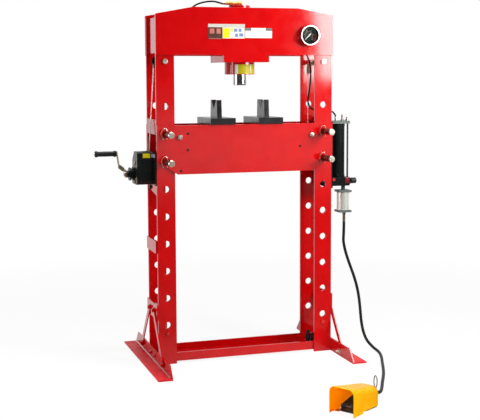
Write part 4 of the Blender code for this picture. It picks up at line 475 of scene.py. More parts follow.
def soften(node, coat, others=()):
    """A copy of a CAD node with broken edges, standing for it; faces that a rule picks get another finish."""
    piece = bpy.data.objects.new("made_" + node, NODES[node].data.copy())
    bpy.context.scene.collection.objects.link(piece)
    only(piece)
    bpy.ops.object.mode_set(mode="EDIT")
    bpy.ops.mesh.select_all(action="SELECT")
    bpy.ops.mesh.remove_doubles(threshold=0.00002)
    bpy.ops.mesh.dissolve_limited(angle_limit=radians(1.0))
    bpy.ops.object.mode_set(mode="OBJECT")
    edges = piece.modifiers.new("edges", "BEVEL")
    edges.width = EDGE_WIDTH
    edges.segments = 2
    edges.limit_method = "ANGLE"
    edges.angle_limit = radians(40)
    bpy.ops.object.modifier_apply(modifier=edges.name)
    bpy.ops.object.shade_smooth_by_angle(angle=radians(50))
    flats = piece.modifiers.new("flats", "WEIGHTED_NORMAL")
    flats.keep_sharp = True
    bpy.ops.object.modifier_apply(modifier=flats.name)
    own(piece, coat, BODY_OF[node])
    for number, (finish, rule) in enumerate(others, 1):
        piece.data.materials.append(finish)
        for face in piece.data.polygons:
            if rule(face.center - MIDDLE):
                face.material_index = number
    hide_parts(node)


# Where the finish changes on one node: pins, nuts of the beam, feet, pump, motor, valve, crank and shaft
POST_X = 0.4275
PIN_HEIGHTS = (1.045, 1.185)
PIN_BRIGHT_END = -0.2302
PIN_CLIP_REACH = 0.0172
BEAM_BOLT_X = 0.400
BEAM_BOLT_Y = 0.034
BEAM_NUT_REACH = 0.019
BEAM_WEB_TOP = 0.0195
BEAM_WASHER_LOW = 0.0420
FLOOR_LEG_TOP = 0.0105
PUMP_BASE_TOP = 0.935
TOP_PLATE_TOP = 1.236
CAN_LOW = 0.7475
CAN_HIGH = 0.8455
MOTOR_PLATE_LOW = 0.7355
VALVE_BARB = 0.1
CRANK_SPINDLE = -0.642
SHAFT_NUT = -0.607

# Guard of the pedal, in its own frame: its sides along the collar at the mouth and behind it, and its roof
GUARD_MOUTH = -0.1065
GUARD_MOUTH_HALF = 0.066
COLLAR_TAPER = 0.0338
COLLAR_END = -0.0325
COLLAR_END_HALF = 0.0635
SIDE_TAPER = 0.0591
GUARD_TOP = 0.123
GUARD_FALL = 0.1502
GUARD_ROUND = 0.028
GUARD_REAR = 0.100
GUARD_INNER_DEPTH = 0.0018


def on_shank(spot):
    """Whether a place on a table pin is on its shank, behind the bright end and inside the clip's wire."""
    rise = min(abs(spot.z - height) for height in PIN_HEIGHTS)
    return spot.y > PIN_BRIGHT_END and hypot(abs(spot.x) - POST_X, rise) < PIN_CLIP_REACH


def on_beam_nut(spot):
    """Whether a place on the beam is on one of its four nuts or their sleeves."""
    reach = hypot(abs(spot.x) - BEAM_BOLT_X, abs(spot.y) - BEAM_BOLT_Y)
    return spot.z > BEAM_WEB_TOP and reach < BEAM_NUT_REACH


def in_pedal(spot):
    """A place in the pedal's own frame."""
    return PEDAL_FRAME.inverted() @ (spot + MIDDLE)


def in_guard(spot):
    """Whether a place on the pedal's guard is on its inner side, more than half the wall from the outside."""
    place = in_pedal(spot)
    collar_half = GUARD_MOUTH_HALF - COLLAR_TAPER * (place.x - GUARD_MOUTH)
    side_half = COLLAR_END_HALF - SIDE_TAPER * (place.x - COLLAR_END)
    side = abs(place.y) - min(collar_half, side_half) + GUARD_ROUND
    rise = place.z - GUARD_TOP + GUARD_FALL * (place.x - GUARD_MOUTH) + GUARD_ROUND
    reach = hypot(side, rise) if min(side, rise) > 0.0 else max(side, rise)
    return GUARD_ROUND - reach > GUARD_INNER_DEPTH and place.x < GUARD_REAR


def on_floor_leg(spot):
    """Whether a place on a foot is on the leg that lies on the floor."""
    return spot.z < FLOOR_LEG_TOP


def dress_nodes():
    """Every CAD node gets its finish; hard-edged ones also get broken edges."""
    plain = {
        "gauge_lens", "gauge_dial", "piston", "piston_seal", "pedal_spring",
        "lift_rope", "hydraulic_hose", "air_hose",
    }
    others = {
        "bottom_beam": [(DARK_BOLT, on_beam_nut)],
        "pump_base": [(ROD, lambda spot: spot.z > PUMP_BASE_TOP)],
        "pump_top_plate": [(STEEL, lambda spot: spot.z > TOP_PLATE_TOP)],
        # The feet's floor legs get the lighter red: painted light on their upward faces
        "foot_left": [(RED_PAINTED_LIGHT, on_floor_leg)],
        "foot_right": [(RED_PAINTED_LIGHT, on_floor_leg)],
        "air_motor": [
            (CAST, lambda spot: spot.z < CAN_LOW or spot.z > CAN_HIGH),
            (WIRE, lambda spot: spot.z < MOTOR_PLATE_LOW),
        ],
        "pedal_valve": [(BRASS, lambda spot: in_pedal(spot).x > VALVE_BARB)],
        # The guard's inner faces get the deeper orange: painted light
        "pedal_guard": [(PAINTED_GLOW_YELLOW, in_guard)],
        "crank_arm": [(ZINC, lambda spot: spot.x < CRANK_SPINDLE)],
        "pinion_shaft": [(STEEL, lambda spot: spot.x < SHAFT_NUT)],
    }
    # Pin shanks get the dark steel: painted shade and dark reflection
    for pin in ("table_pin_1", "table_pin_2", "table_pin_3", "table_pin_4"):
        others[pin] = [(SHANK_PAINTED_SHADE, on_shank)]
    for node, piece in NODES.items():
        piece.data.materials.clear()
        coat = WIRE if node == "crank_arm" else FINISH[SLOT_OF[node]]
        piece.data.materials.append(coat)
        if node not in plain:
            soften(node, coat, others.get(node, ()))


# Oil hose: from the elbow on the cylinder, behind the cylinder and down the right post to the pump
OIL_HOSE_DIA = 0.009
ELBOW_Z = 1.8523
PUMP_TOP = 1.234
OIL_HOSE_ROUTE = [
    (-0.0753, 0.0, ELBOW_Z), (-0.102, 0.0, ELBOW_Z), (-0.140, 0.002, ELBOW_Z + 0.0077),
    (-0.185, 0.006, ELBOW_Z + 0.004), (-0.228, 0.012, ELBOW_Z - 0.010), (-0.262, 0.022, ELBOW_Z - 0.037),
    (-0.278, 0.038, ELBOW_Z - 0.070), (-0.264, 0.060, ELBOW_Z - 0.095), (-0.225, 0.080, ELBOW_Z - 0.104),
    (-0.160, 0.094, ELBOW_Z - 0.106), (-0.080, 0.098, ELBOW_Z - 0.106), (0.0, 0.098, ELBOW_Z - 0.106),
    (0.080, 0.098, ELBOW_Z - 0.106), (0.160, 0.093, ELBOW_Z - 0.112), (0.235, 0.076, ELBOW_Z - 0.132),
    (0.2995, 0.048, ELBOW_Z - 0.168), (0.3475, 0.014, ELBOW_Z - 0.218), (0.3755, -0.020, ELBOW_Z - 0.280),
    (0.3825, -0.038, PUMP_TOP + 0.285), (0.381, -0.046, PUMP_TOP + 0.235), (0.3755, -0.048, PUMP_TOP + 0.185),
    (0.3685, -0.047, PUMP_TOP + 0.143), (0.3665, -0.044, PUMP_TOP + 0.113),
    (0.3745, -0.038, PUMP_TOP + 0.087), (0.393, -0.029, PUMP_TOP + 0.069),
    (0.418, -0.018, PUMP_TOP + 0.061), (0.446, -0.008, PUMP_TOP + 0.0585),
    (0.474, -0.002, PUMP_TOP + 0.0575), (0.500, 0.0, PUMP_TOP + 0.056), (0.524, 0.0, PUMP_TOP + 0.049),
    (0.5405, 0.0, PUMP_TOP + 0.0325), (0.547, 0.0, PUMP_TOP + 0.0105), (0.547, 0.0, PUMP_TOP + 0.0003),
]

# Lift rope: up from the winch drum, over the head pulley, under the table's rollers and up to its anchor;
# pulley and rollers as (x, z, radius of the rope's middle line)
ROPE_STRANDS = 6
ROPE_LAY = 0.042
STRAND_DIA = 0.0021
STRAND_OUT = 0.0019
ROPE_SPACING = 0.004
ROPE_ON_DRUM = (-0.4963, -0.0323, 1.035)
ROPE_OFF_DRUM = (-0.4963, -0.0323, 1.096)
HEAD_PULLEY = (-0.4275, 1.55, 0.0318)
LEFT_ROLLER = (-0.352, 1.010, 0.0313)
RIGHT_ROLLER = (0.352, 1.010, 0.0313)
ROPE_ANCHOR = (0.3833, 0.0, 1.514)


def arc(x, z, radius, start, end, pieces):
    """Points of an arc in the middle plane of the press."""
    turns = [start + (end - start) * piece / pieces for piece in range(pieces + 1)]
    return [at(x + radius * cos(turn), 0.0, z + radius * sin(turn)) for turn in turns]


def rope_route():
    """The rope's own points, from the drum to the anchor."""
    route = [at(*ROPE_ON_DRUM), at(*ROPE_OFF_DRUM)]
    route += arc(*HEAD_PULLEY, pi, 0.0, 24)
    route += arc(*LEFT_ROLLER, pi, 1.5 * pi, 14)
    route += arc(*RIGHT_ROLLER, -0.5 * pi, 0.0, 14)
    return route + [at(*ROPE_ANCHOR)]


def evenly(route, spacing):
    """A polyline with points added so that none are further apart than a spacing."""
    points = [route[0]]
    for start, end in zip(route, route[1:]):
        pieces = max(1, ceil((end - start).length / spacing))
        points += [start.lerp(end, piece / pieces) for piece in range(1, pieces + 1)]
    return points


def make_oil_hose():
    """The oil hose and the steel collars at its ends."""
    route = [at(*point) for point in OIL_HOSE_ROUTE]
    points = smooth_route(route, HOSE_SPACING)
    hose = line_curve("oil_line", [points], OIL_HOSE_DIA, 6)
    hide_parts("hydraulic_hose")
    own(hose, RUBBER)
    collar = [
        (0.0, 0.0052), (0.0, 0.0066), (0.0, 0.0082), (0.004, 0.0086), (0.006, 0.0078), (0.020, 0.0078),
        (0.022, 0.0066), (0.022, 0.0052),
    ]
    ends = (("oil_collar_top", points[0], points[4]), ("oil_collar_pump", points[-1], points[-5]))
    for name, end, before in ends:
        piece = lathe(name, end, (before - end).normalized(), collar, 24, True)
        own(piece, STEEL)


def make_lift_rope():
    """The rope as strands laid round its middle line."""
    points = evenly(rope_route(), ROPE_SPACING)
    side = Vector((0.0, 1.0, 0.0))
    strands = [[] for _ in range(ROPE_STRANDS)]
    passed = 0.0
    for step, point in enumerate(points):
        nearby = points[min(step + 1, len(points) - 1)] - points[max(step - 1, 0)]
        across = nearby.cross(side).normalized()
        beside = across.cross(nearby).normalized()
        if step:
            passed += (point - points[step - 1]).length
        for strand, places in enumerate(strands):
            turn = 2 * pi * (strand / ROPE_STRANDS + passed / ROPE_LAY)
            places.append(point + STRAND_OUT * (across * cos(turn) + beside * sin(turn)))
    rope = line_mesh("wire_rope", strands, STRAND_DIA, 1)
    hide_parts("lift_rope")
    own(rope, ROPE)


# Front face of the head and table plates, and of the winch's cover
PLATE_FRONT = -0.1223
COVER_FRONT = -0.060


def fields(name, coat, areas, proud, face=PLATE_FRONT):
    """Blank fields of a label: thin rounded sheets on a front face, each (low x, high x, low z, high z)."""
    pieces = []
    for low_x, high_x, low_z, high_z in areas:
        piece = slab(name, at(low_x, face - proud, low_z), at(high_x, face + 0.0001, high_z), 0.0003, 1)
        pieces.append(piece)
    own(joined(pieces, name), coat)


def make_labels():
    """The two stickers on the head, kept blank: plain fields in the colours of the real ones."""
    fields("label_strip", LABEL_GREY, [(-0.2045, -0.0095, 1.7220, 1.7385)], 0.0007)
    fields("label_field_dark", LABEL_BROWN, [(-0.2045, -0.1300, 1.6620, 1.7215)], 0.0007)
    rose = [
        (-0.1960, -0.1720, 1.6900, 1.7150), (-0.1600, -0.1390, 1.6900, 1.7150),
        (-0.2010, -0.1340, 1.6640, 1.6665),
    ]
    fields("label_field_rose", LABEL_ROSE, rose, 0.0010)
    fields("label_field_pale", LABEL_WHITE, [(-0.1285, -0.0110, 1.6660, 1.7215)], 0.0007)
    yellow = [(-0.1270, -0.0920, 1.6690, 1.7180), (-0.0860, -0.0740, 1.7010, 1.7180)]
    fields("label_field_yellow", LABEL_YELLOW, yellow, 0.0010)
    blue = [
        (-0.0680, -0.0500, 1.7000, 1.7160), (-0.0430, -0.0280, 1.7000, 1.7160),
        (-0.0620, -0.0470, 1.6740, 1.6900), (-0.0400, -0.0190, 1.6760, 1.6920),
    ]
    fields("label_field_blue", LABEL_BLUE, blue, 0.0010)
    fields("plate_body", LABEL_WHITE, [(-0.0085, 0.1370, 1.6690, 1.7060)], 0.0007)
    fields("plate_head", LABEL_WHITE, [(0.0240, 0.1030, 1.7065, 1.7200)], 0.0008)
    dark = [(-0.0085, 0.0235, 1.7065, 1.7200), (0.1035, 0.1370, 1.7065, 1.7200)]
    fields("plate_ends", CAST, dark, 0.0008)


def spun(name, base, axis, inner, outer, low, high, start, turn, steps=32):
    """A curved strip: a rectangle spun part of the way round an axis, from a starting angle."""
    deselect()
    bpy.ops.mesh.primitive_plane_add(size=1.0)
    piece = bpy.context.object
    piece.name = name
    size = Matrix.Diagonal((outer - inner, high - low, 1.0, 1.0))
    middle = Matrix.Translation(((inner + outer) / 2, 0.0, (low + high) / 2))
    piece.matrix_world = Matrix.Rotation(start, 4, "Z") @ middle @ Matrix.Rotation(pi / 2, 4, "X") @ size
    bpy.ops.object.transform_apply(location=True, rotation=True, scale=True)
    bpy.ops.object.mode_set(mode="EDIT")
    bpy.ops.mesh.select_all(action="SELECT")
    bpy.ops.mesh.spin(steps=steps, angle=-turn, center=(0.0, 0.0, 0.0), axis=UP)
    bpy.ops.object.mode_set(mode="OBJECT")
    return settle(piece, along(base, axis))


# Cylinder's barrel, and the lower and upper edge of its label
BARREL_RADIUS = 0.0785
BARREL_LABEL_LOW = 1.4875
BARREL_LABEL_HIGH = 1.5354


def make_barrel_label():
    """The blank yellow sticker round the front of the cylinder."""
    base = at(0.0, 0.0, 0.0)
    inner = BARREL_RADIUS - 0.0002
    outer = BARREL_RADIUS + 0.0006
    # The white strips at the label's left edge and along its fold are painted highlights
    for name, coat, slot, low, high, proud in (
        ("barrel_label_edge_painted_highlight", LABEL_WHITE, "needle_white", -0.046, -0.031, 0.0),
        ("barrel_label", LABEL_YELLOW_SHADED, "yellow_plastic", -0.0309, 0.063, 0.0),
        ("barrel_label_fold_painted_highlight", LABEL_WHITE, "needle_white", 0.037, 0.041, 0.0002),
    ):
        start = -acos(high / BARREL_RADIUS)
        turn = -acos(low / BARREL_RADIUS) - start
        label = spun(
            name, base, UP, inner, outer + proud, BARREL_LABEL_LOW, BARREL_LABEL_HIGH, start, turn,
        )
        own(label, coat)


# Gauge: centre of the dial, seen from the front, with the scale running clockwise from the lower left
GAUGE_X = 0.337
GAUGE_Z = 1.684
DIAL_FACE = -0.1309
LENS_FACE = -0.1526
SCALE_START = radians(225)
SCALE_TURN = radians(-270)
GREEN_TURN = radians(-216)
SCALE_PARTS = 50
NUMBER_PARTS = 5
OUTER_ARC = (0.0394, 0.0418)
INNER_ARC = (0.0196, 0.0214)
LONG_MARK = 0.0330
MIDDLE_MARK = 0.0352
SHORT_MARK = 0.0368
MARK_END = 0.0392
NUMBER_RADIUS = 0.0275
NUMBER_SIZE = 0.0085


def dial_frame(turn):
    """Frame on the dial's face whose x runs outwards at an angle of the scale."""
    return along(at(GAUGE_X, DIAL_FACE, GAUGE_Z), FRONT) @ Matrix.Rotation(turn, 4, "Z")


def make_dial_marks():
    """Fifty small divisions, with every fifth and tenth mark longer."""
    marks = []
    for mark in range(SCALE_PARTS + 1):
        long_mark = mark % 10 == 0
        middle_mark = mark % 5 == 0
        inner = LONG_MARK if long_mark else MIDDLE_MARK if middle_mark else SHORT_MARK
        half = 0.00055 if long_mark else 0.00035
        turn = SCALE_START + SCALE_TURN * mark / SCALE_PARTS
        low = (inner, -half, -0.0001)
        high = (MARK_END, half, 0.0003)
        marks.append(slab("dial_mark", low, high, 0.0001, 1, dial_frame(turn)))
    own(joined(marks, "dial_marks"), MARK)


def make_dial_numbers():
    """Plain numbers at the long marks."""
    numbers = []
    for step in range(NUMBER_PARTS + 1):
        curve = bpy.data.curves.new("dial_number", "FONT")
        curve.body = str(10 * step)
        curve.size = NUMBER_SIZE
        curve.align_x = "CENTER"
        curve.align_y = "CENTER"
        curve.extrude = 0.0001
        number = bpy.data.objects.new("dial_number", curve)
        bpy.context.scene.collection.objects.link(number)
        only(number)
        bpy.ops.object.convert(target="MESH")
        number = bpy.context.object
        turn = SCALE_START + SCALE_TURN * step / NUMBER_PARTS
        place = Vector((NUMBER_RADIUS * cos(turn), NUMBER_RADIUS * sin(turn), 0.0003))
        number.matrix_world = dial_frame(0.0) @ Matrix.Translation(place)
        only(number)
        bpy.ops.object.transform_apply(location=True, rotation=True, scale=True)
        numbers.append(number)
    own(joined(numbers, "dial_numbers"), MARK)


def make_gauge():
    """Dial with its scale, the ring that holds the glass, and the needle's hub."""
    base = at(GAUGE_X, DIAL_FACE, GAUGE_Z)
    red_start = SCALE_START + GREEN_TURN
    for name, coat, slot, (inner, outer), start, turn in (
        ("dial_arc_green", GREEN, "dial_black", OUTER_ARC, SCALE_START, GREEN_TURN),
        ("dial_arc_red", SIGNAL, "red_paint", OUTER_ARC, red_start, SCALE_TURN - GREEN_TURN),
        ("dial_arc_amber", AMBER, "yellow_plastic", INNER_ARC, SCALE_START, SCALE_TURN),
    ):
        own(spun(name, base, FRONT, inner, outer, -0.0001, 0.0002, start, turn, 48), coat)
    make_dial_marks()
    make_dial_numbers()
    lens = at(GAUGE_X, LENS_FACE, GAUGE_Z)
    steps = [
        (-0.0002, 0.0455), (0.0022, 0.0455), (0.0036, 0.0470), (0.0036, 0.0505), (0.0026, 0.0518),
        (-0.0002, 0.0494), (-0.0002, 0.0455),
    ]
    own(lathe("gauge_bezel", lens, FRONT, steps, 64, True), BEZEL)
    needle_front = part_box("gauge_needle")[0].y
    hub = Vector((MIDDLE.x + GAUGE_X, needle_front + 0.0004, GAUGE_Z))
    steps = [(0.0, 0.0052), (0.0016, 0.0052), (0.0026, 0.0040), (0.0030, 0.0020)]
    own(lathe("needle_hub", hub, FRONT, steps, 24), STEEL, "needle")


# Set screws of the table, as (x, z)
TABLE_SCREWS = ((-0.314, 1.187), (-0.315, 1.104), (-0.3526, 0.998), (0.292, 1.110))


def make_table_details():
    """Set screws on the table's front plate."""
    steps = [(-0.0002, 0.0058), (0.0016, 0.0058), (0.0024, 0.0048), (0.0024, 0.0026), (0.0012, 0.0024)]
    for count, (x, z) in enumerate(TABLE_SCREWS):
        screw = lathe("table_screw_%d" % count, at(x, PLATE_FRONT, z), FRONT, steps, 20)
        own(screw, DARK_BOLT)


# Winch: its outer face, places on it as (y, z), and the bend of the crank's arm with its axes
WINCH_OUTER = -0.5653
WINCH_BOLTS = ((-0.047, 0.960), (0.062, 0.960), (-0.004, 0.940))
DRUM_PLACE = (-0.004, 1.035)
BACKING_BOLT = (-0.4746, 0.030, 0.9080)
CRANK_BEND = (-0.6356, 0.0556, 1.0160)
CRANK_SLOPE = Vector((-0.6944, 0.4426, 0.5676))
CRANK_ACROSS = Vector((0.0, -0.7885, 0.6150))


def make_winch_details():
    """Bolts and drum washer of the outer plate, the crank's sleeve and the blank stickers on the cover."""
    bolts = []
    for y, z in WINCH_BOLTS:
        bolts.append(hex_bolt("winch_bolt", at(WINCH_OUTER + 0.0001, y, z), LEFT, 0.013, 0.0055, 0.0100))
    own(joined(bolts, "winch_bolts"), BRONZED)
    washer = ring("drum_washer", at(WINCH_OUTER - 0.0002, *DRUM_PLACE), LEFT, 0.0, 0.0016, 0.0075, 0.0135)
    own(washer, BRONZED, "drum")
    backing = hex_bolt("backing_bolt", at(*BACKING_BOLT), LEFT, 0.019, 0.0085, 0.0145)
    own(backing, DARK_BOLT)
    axes = Matrix((CRANK_SLOPE, CRANK_ACROSS, CRANK_SLOPE.cross(CRANK_ACROSS))).transposed().to_4x4()
    bend = Matrix.Translation(at(*CRANK_BEND)) @ axes
    sleeve = slab("crank_sleeve", (-0.0300, -0.0122, -0.0060), (0.0010, 0.0122, 0.0060), 0.0036, 4, bend)
    own(sleeve, SLEEVE, "crank")
    yellow = [(-0.535, -0.498, 1.064, 1.087)]
    fields("winch_label_yellow", LABEL_YELLOW, yellow, 0.0006, COVER_FRONT)
    grey = [(-0.4926, -0.4838, 1.066, 1.084)]
    fields("winch_label_grey", WINCH_GREY, grey, 0.0006, COVER_FRONT)
    side = slab("winch_label_side", at(-0.4839, -0.1090, 1.066), at(-0.4832, -0.0610, 1.084), 0.0003, 1)
    own(side, WINCH_GREY)


# Pump and its motor: plug, middle lines of the reservoir and the can, and heights of the rings round them
PUMP_PLUG = (0.518, -0.040, 0.918)
RESERVOIR_X = 0.556
BAND_HEIGHTS = (0.9303, 1.2040)
MOTOR_X = 0.590
SHELL_LOW = 0.7477
HOOP_HEIGHTS = (0.7479, 0.8392)


def make_pump_details():
    """Plug, valve face and bands of the pump, and the shell and hoops of its motor."""
    plug = [(-0.0002, 0.0085), (0.0030, 0.0085), (0.0040, 0.0075), (0.0040, 0.0045), (0.0022, 0.0040)]
    own(lathe("pump_plug", at(*PUMP_PLUG), FRONT, plug, 24), SIGNAL)
    valve = slab("pump_valve_face", at(0.583, -0.0436, 0.897), at(0.610, -0.0399, 0.929), 0.0012)
    own(valve, MAROON)
    bands = []
    for z in BAND_HEIGHTS:
        bands.append(ring("reservoir_band", at(RESERVOIR_X, 0.0, z), UP, 0.0002, 0.0145, 0.0375, 0.0394, 64))
    own(joined(bands, "reservoir_bands"), BLACK)
    shell = [ring("can_shell", at(MOTOR_X, 0.0, SHELL_LOW), UP, 0.0, 0.0977, 0.0325, 0.0350, 64)]
    for z in HOOP_HEIGHTS:
        shell.append(ring("can_hoop", at(MOTOR_X, 0.0, z), UP, 0.0, 0.0058, 0.0345, 0.0359, 64))
    own(joined(shell, "motor_can_shell"), SILVER)


def make_beam_bolts():
    """Washers under the beam's nuts and the stud ends above them."""
    washers = []
    studs = []
    steps = [(0.0668, 0.0082), (0.0850, 0.0082), (0.0864, 0.0068)]
    for x in (-BEAM_BOLT_X, BEAM_BOLT_X):
        for y in (-BEAM_BOLT_Y, BEAM_BOLT_Y):
            washers.append(ring("beam_washer", at(x, y, BEAM_WASHER_LOW), UP, 0.0, 0.0030, 0.0115, 0.0200))
            studs.append(lathe("beam_stud", at(x, y, 0.0), UP, steps, 20))
    own(joined(washers, "beam_washers"), DARK_BOLT)
    own(joined(studs, "beam_studs"), DARK_BOLT)


# Feet: root of the angle, half of its fillet's width and length, bolts through the upright leg; post plugs
FOOT_ROOT_X = 0.4838
FOOT_ROOT_Z = 0.0085
FILLET_HALF = 0.0035
FOOT_HALF = 0.395
FOOT_BOLT_X = 0.4752
FOOT_BOLT_Y = 0.234
FOOT_BOLT_Z = 0.0270
POST_FRONT = -0.1160
POST_PLUG_Z = 0.163


def make_foot_fillets():
    """Root fillet of each foot's angle, where the upright leg meets the one on the floor."""
    corner = Vector((FILLET_HALF, FOOT_HALF, FILLET_HALF))
    for side, sign in (("left", -1.0), ("right", 1.0)):
        lean = Matrix.Translation(at(sign * FOOT_ROOT_X, 0.0, FOOT_ROOT_Z)) @ Matrix.Rotation(pi / 4, 4, "Y")
        own(slab("foot_fillet_%s" % side, -corner, corner, 0.0012, 3, lean), RED)


def make_frame_bolts():
    """Plugs low on the posts and the bolts through the feet's upright legs."""
    plug = [(-0.0002, 0.0086), (0.0030, 0.0086), (0.0046, 0.0070), (0.0050, 0.0042)]
    # The plugs' orange-red, brighter than the frame's red, is a painted highlight
    for side, x in (("left", -POST_X), ("right", POST_X)):
        piece = lathe("post_plug_%s" % side, at(x, POST_FRONT, POST_PLUG_Z), FRONT, plug, 24)
        own(piece, PLUG_PAINTED_HIGHLIGHT)
    stud = [(0.0, 0.0050), (0.0210, 0.0050), (0.0222, 0.0040)]
    for side, x, axis in (("left", -FOOT_BOLT_X, RIGHT), ("right", FOOT_BOLT_X, LEFT)):
        for end, y in (("front", -FOOT_BOLT_Y), ("rear", FOOT_BOLT_Y)):
            base = at(x, y, FOOT_BOLT_Z)
            nut = hex_bolt("foot_nut", base, axis, 0.017, 0.0095, 0.0125)
            bolt = joined([nut, lathe("foot_stud", base, axis, stud, 16)], "foot_bolt_%s_%s" % (side, end))
            own(bolt, ZINC)


# Treadle: hinge line and tilt in the pedal's own frame, and corners of its first rib
TREADLE_HINGE = (-0.0465, 0.0, 0.024)
TREADLE_TILT = radians(-14)
TREADLE_FRAME = PEDAL_FRAME @ Matrix.Translation(TREADLE_HINGE) @ Matrix.Rotation(TREADLE_TILT, 4, "Y")
RIB_COUNT = 12
RIB_PITCH = 0.0085
RIB_LOW = Vector((0.0030, -0.0300, 0.0130))
RIB_HIGH = Vector((0.0070, 0.0300, 0.0153))

# Wire bail at the back of the pedal: wire, middle of the loop, half its width and height, and its two ends
BAIL_DIA = 0.0048
BAIL = Vector((0.098, -0.042, 0.113))
BAIL_HALF_WIDTH = 0.0085
BAIL_HALF_HEIGHT = 0.0265
BAIL_END_HALF = 0.0036
BAIL_END_Z = 0.076
BAIL_STEPS = 24
BAIL_TURN = 155


def make_pedal_details():
    """Ribs of the treadle and the wire bail at the back."""
    ribs = []
    for step in range(RIB_COUNT):
        shift = Vector((RIB_PITCH * step, 0.0, 0.0))
        ribs.append(slab("treadle_rib", RIB_LOW + shift, RIB_HIGH + shift, 0.0010, 2, TREADLE_FRAME))
    own(joined(ribs, "treadle_ribs"), RUBBER, "treadle")
    loop = [Vector((BAIL.x, BAIL.y - BAIL_END_HALF, BAIL_END_Z))]
    for step in range(BAIL_STEPS + 1):
        turn = radians(BAIL_TURN * (2 * step / BAIL_STEPS - 1))
        loop.append(BAIL + Vector((0.0, BAIL_HALF_WIDTH * sin(turn), BAIL_HALF_HEIGHT * cos(turn))))
    loop.append(Vector((BAIL.x, BAIL.y + BAIL_END_HALF, BAIL_END_Z)))
    bail = line_mesh("pedal_bail", [[PEDAL_FRAME @ point for point in loop]], BAIL_DIA, 3)
    own(bail, ROD)


def light(name, place, aim, size, power, spread=180):
    """A soft square lamp, with its beam narrowed to a spread in degrees."""
    data = bpy.data.lights.new(name, "AREA")
    data.shape = "SQUARE"
    data.size = size
    data.energy = power
    data.spread = radians(spread)
    lamp = bpy.data.objects.new(name, data)
    bpy.context.scene.collection.objects.link(lamp)
    toward = Vector(aim) - Vector(place)
    lamp.matrix_world = Matrix.Translation(place) @ toward.to_track_quat("-Z", "Y").to_matrix().to_4x4()


def set_stops(ramp, stops):
    """Grey levels of a ramp, as (position, level)."""
    while len(ramp.color_ramp.elements) < len(stops):
        ramp.color_ramp.elements.new(0.5)
    for stop, (position, level) in zip(ramp.color_ramp.elements, stops):
        stop.position = position
        stop.color = (level, level, level, 1.0)


def seen_rays(nodes, rays):
    """One for rays from the camera or through glass, else nothing."""
    shown = nodes.node("ShaderNodeMath", operation="MAXIMUM")
    nodes.link(rays, "Is Camera Ray", shown, 0)
    nodes.link(rays, "Is Transmission Ray", shown, 1)
    return shown


def set_world():
    """White where it is seen directly or through glass, a plain sky for light, a room for reflections."""
    world = bpy.data.worlds.new("studio")
    bpy.context.scene.world = world
    world.use_nodes = True
    nodes = Nodes(world.node_tree)
    background = nodes.tree.nodes["Background"]
    background.inputs["Color"].default_value = (1.0, 1.0, 1.0, 1.0)
    rays = nodes.node("ShaderNodeLightPath")
    place = nodes.node("ShaderNodeTexCoord")
    round_about = nodes.node("ShaderNodeTexGradient", gradient_type="RADIAL")
    nodes.link(place, "Generated", round_about, "Vector")
    room = nodes.node("ShaderNodeValToRGB")
    set_stops(room, ROOM)
    nodes.link(round_about, "Fac", room, "Fac")
    mirrored = nodes.node("ShaderNodeMix", A=SKY)
    nodes.link(rays, "Is Glossy Ray", mirrored, "Factor")
    nodes.link(room, "Color", mirrored, "B")
    strength = nodes.node("ShaderNodeMix", B=1.0)
    nodes.link(seen_rays(nodes, rays), "Value", strength, "Factor")
    nodes.link(mirrored, "Result", strength, "A")
    nodes.link(strength, "Result", background, "Strength")


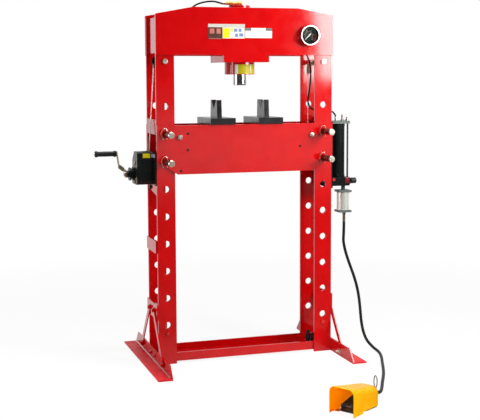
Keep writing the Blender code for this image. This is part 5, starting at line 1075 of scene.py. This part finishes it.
def set_floor():
    """A white sweep that keeps the press's soft shadow."""
    deselect()
    bpy.ops.mesh.primitive_plane_add(size=FLOOR_SIZE, location=(0.0, 0.0, 0.0))
    floor = bpy.context.object
    floor.name = "studio_floor"
    material = bpy.data.materials.new("studio_floor")
    material.use_nodes = True
    nodes = Nodes(material.node_tree)
    shader = nodes.tree.nodes["Principled BSDF"]
    shader.inputs["Roughness"].default_value = 0.9
    shader.inputs["Specular IOR Level"].default_value = 0.0
    rays = nodes.node("ShaderNodeLightPath")
    place = nodes.node("ShaderNodeTexCoord")

    # Tone that reflections meet, by the distance to the front or the back
    parts = nodes.node("ShaderNodeSeparateXYZ")
    nodes.link(place, "Object", parts, "Vector")
    depth = nodes.node("ShaderNodeMapRange")
    depth.inputs["From Min"].default_value = MIDDLE.y + FLOOR_FRONT
    depth.inputs["From Max"].default_value = MIDDLE.y + FLOOR_BACK
    nodes.link(parts, "Y", depth, "Value")
    mirrored = nodes.node("ShaderNodeValToRGB")
    set_stops(mirrored, FLOOR_MIRRORED)
    nodes.link(depth, "Result", mirrored, "Fac")
    tone = nodes.node("ShaderNodeMix", A=FLOOR_TONE)
    nodes.link(rays, "Is Glossy Ray", tone, "Factor")
    nodes.link(mirrored, "Color", tone, "B")
    nodes.link(tone, "Result", shader, "Base Color")

    # Share of plain white, growing away from the press so that the shadow fades out
    from_press = nodes.node("ShaderNodeVectorMath", operation="DISTANCE")
    from_press.inputs[1].default_value = MIDDLE
    nodes.link(place, "Object", from_press, 0)
    whiteness = nodes.node("ShaderNodeMapRange")
    whiteness.inputs["From Min"].default_value = SHADOW_NEAR
    whiteness.inputs["From Max"].default_value = SHADOW_FAR
    whiteness.inputs["To Min"].default_value = FLOOR_WHITE
    whiteness.inputs["To Max"].default_value = 1.0
    nodes.link(from_press, "Value", whiteness, "Value")
    direct = nodes.node("ShaderNodeMath", operation="MULTIPLY")
    nodes.link(seen_rays(nodes, rays), "Value", direct, 0)
    nodes.link(whiteness, "Result", direct, 1)
    in_mirror = nodes.node("ShaderNodeMath", operation="MULTIPLY")
    nodes.link(rays, "Is Glossy Ray", in_mirror, 0)
    nodes.link(mirrored, "Color", in_mirror, 1)
    share = nodes.node("ShaderNodeMath", operation="MAXIMUM")
    nodes.link(direct, "Value", share, 0)
    nodes.link(in_mirror, "Value", share, 1)
    mix = nodes.node("ShaderNodeMixShader")
    nodes.link(share, "Value", mix, "Fac")
    nodes.link(shader, "BSDF", mix, 1)
    nodes.link(nodes.node("ShaderNodeEmission"), "Emission", mix, 2)
    nodes.link(mix, "Shader", nodes.tree.nodes["Material Output"], "Surface")
    floor.data.materials.append(material)


# Studio: light of the sky, and what reflections meet all round and on the floor, as (position, level)
SKY = 0.18
ROOM = (
    (0.0, 0.20), (0.06, 0.10), (0.12, 0.045), (0.40, 0.045), (0.47, 0.35), (0.56, 1.0),
    (0.73, 1.0), (0.78, 1.3), (0.85, 1.3), (0.90, 0.5), (0.95, 0.25), (1.0, 0.20),
)
FLOOR_MIRRORED = (
    (0.0, 0.9), (0.12, 0.7), (0.30, 0.12), (0.5, 0.06), (0.80, 0.06), (0.85, 0.4), (0.914, 0.95),
)

# Floor: its size, the reach of its mirrored tones to front and back, its tone, and where the shadow fades
FLOOR_SIZE = 80.0
FLOOR_FRONT = -12.0
FLOOR_BACK = 2.0
FLOOR_TONE = 0.92
FLOOR_WHITE = 0.88
SHADOW_NEAR = 1.2
SHADOW_FAR = 3.5


def set_studio():
    """Plain view, white room and floor, and four lamps."""
    bpy.context.scene.view_settings.view_transform = "Standard"
    set_world()
    set_floor()
    light("key", at(1.42, -1.50, 1.93), at(0.1, -0.1, 1.3), 1.0, 35.0, 130)
    light("fill", at(-2.9, -0.5, 1.1), at(-0.4, -0.2, 0.6), 1.2, 26.0)
    light("pedal_fill", at(-0.45, -2.30, 0.55), at(0.15, -1.15, 0.05), 0.4, 1.6, 50)
    light("top", at(0.0, -0.6, 4.2), at(0.0, -0.4, 0.0), 2.0, 110.0)


set_camera()
make_air_hose()
make_oil_hose()
make_lift_rope()
dress_nodes()
make_labels()
make_barrel_label()
make_gauge()
make_table_details()
make_winch_details()
make_pump_details()
make_beam_bolts()
make_foot_fillets()
make_frame_bolts()
make_pedal_details()
set_studio()
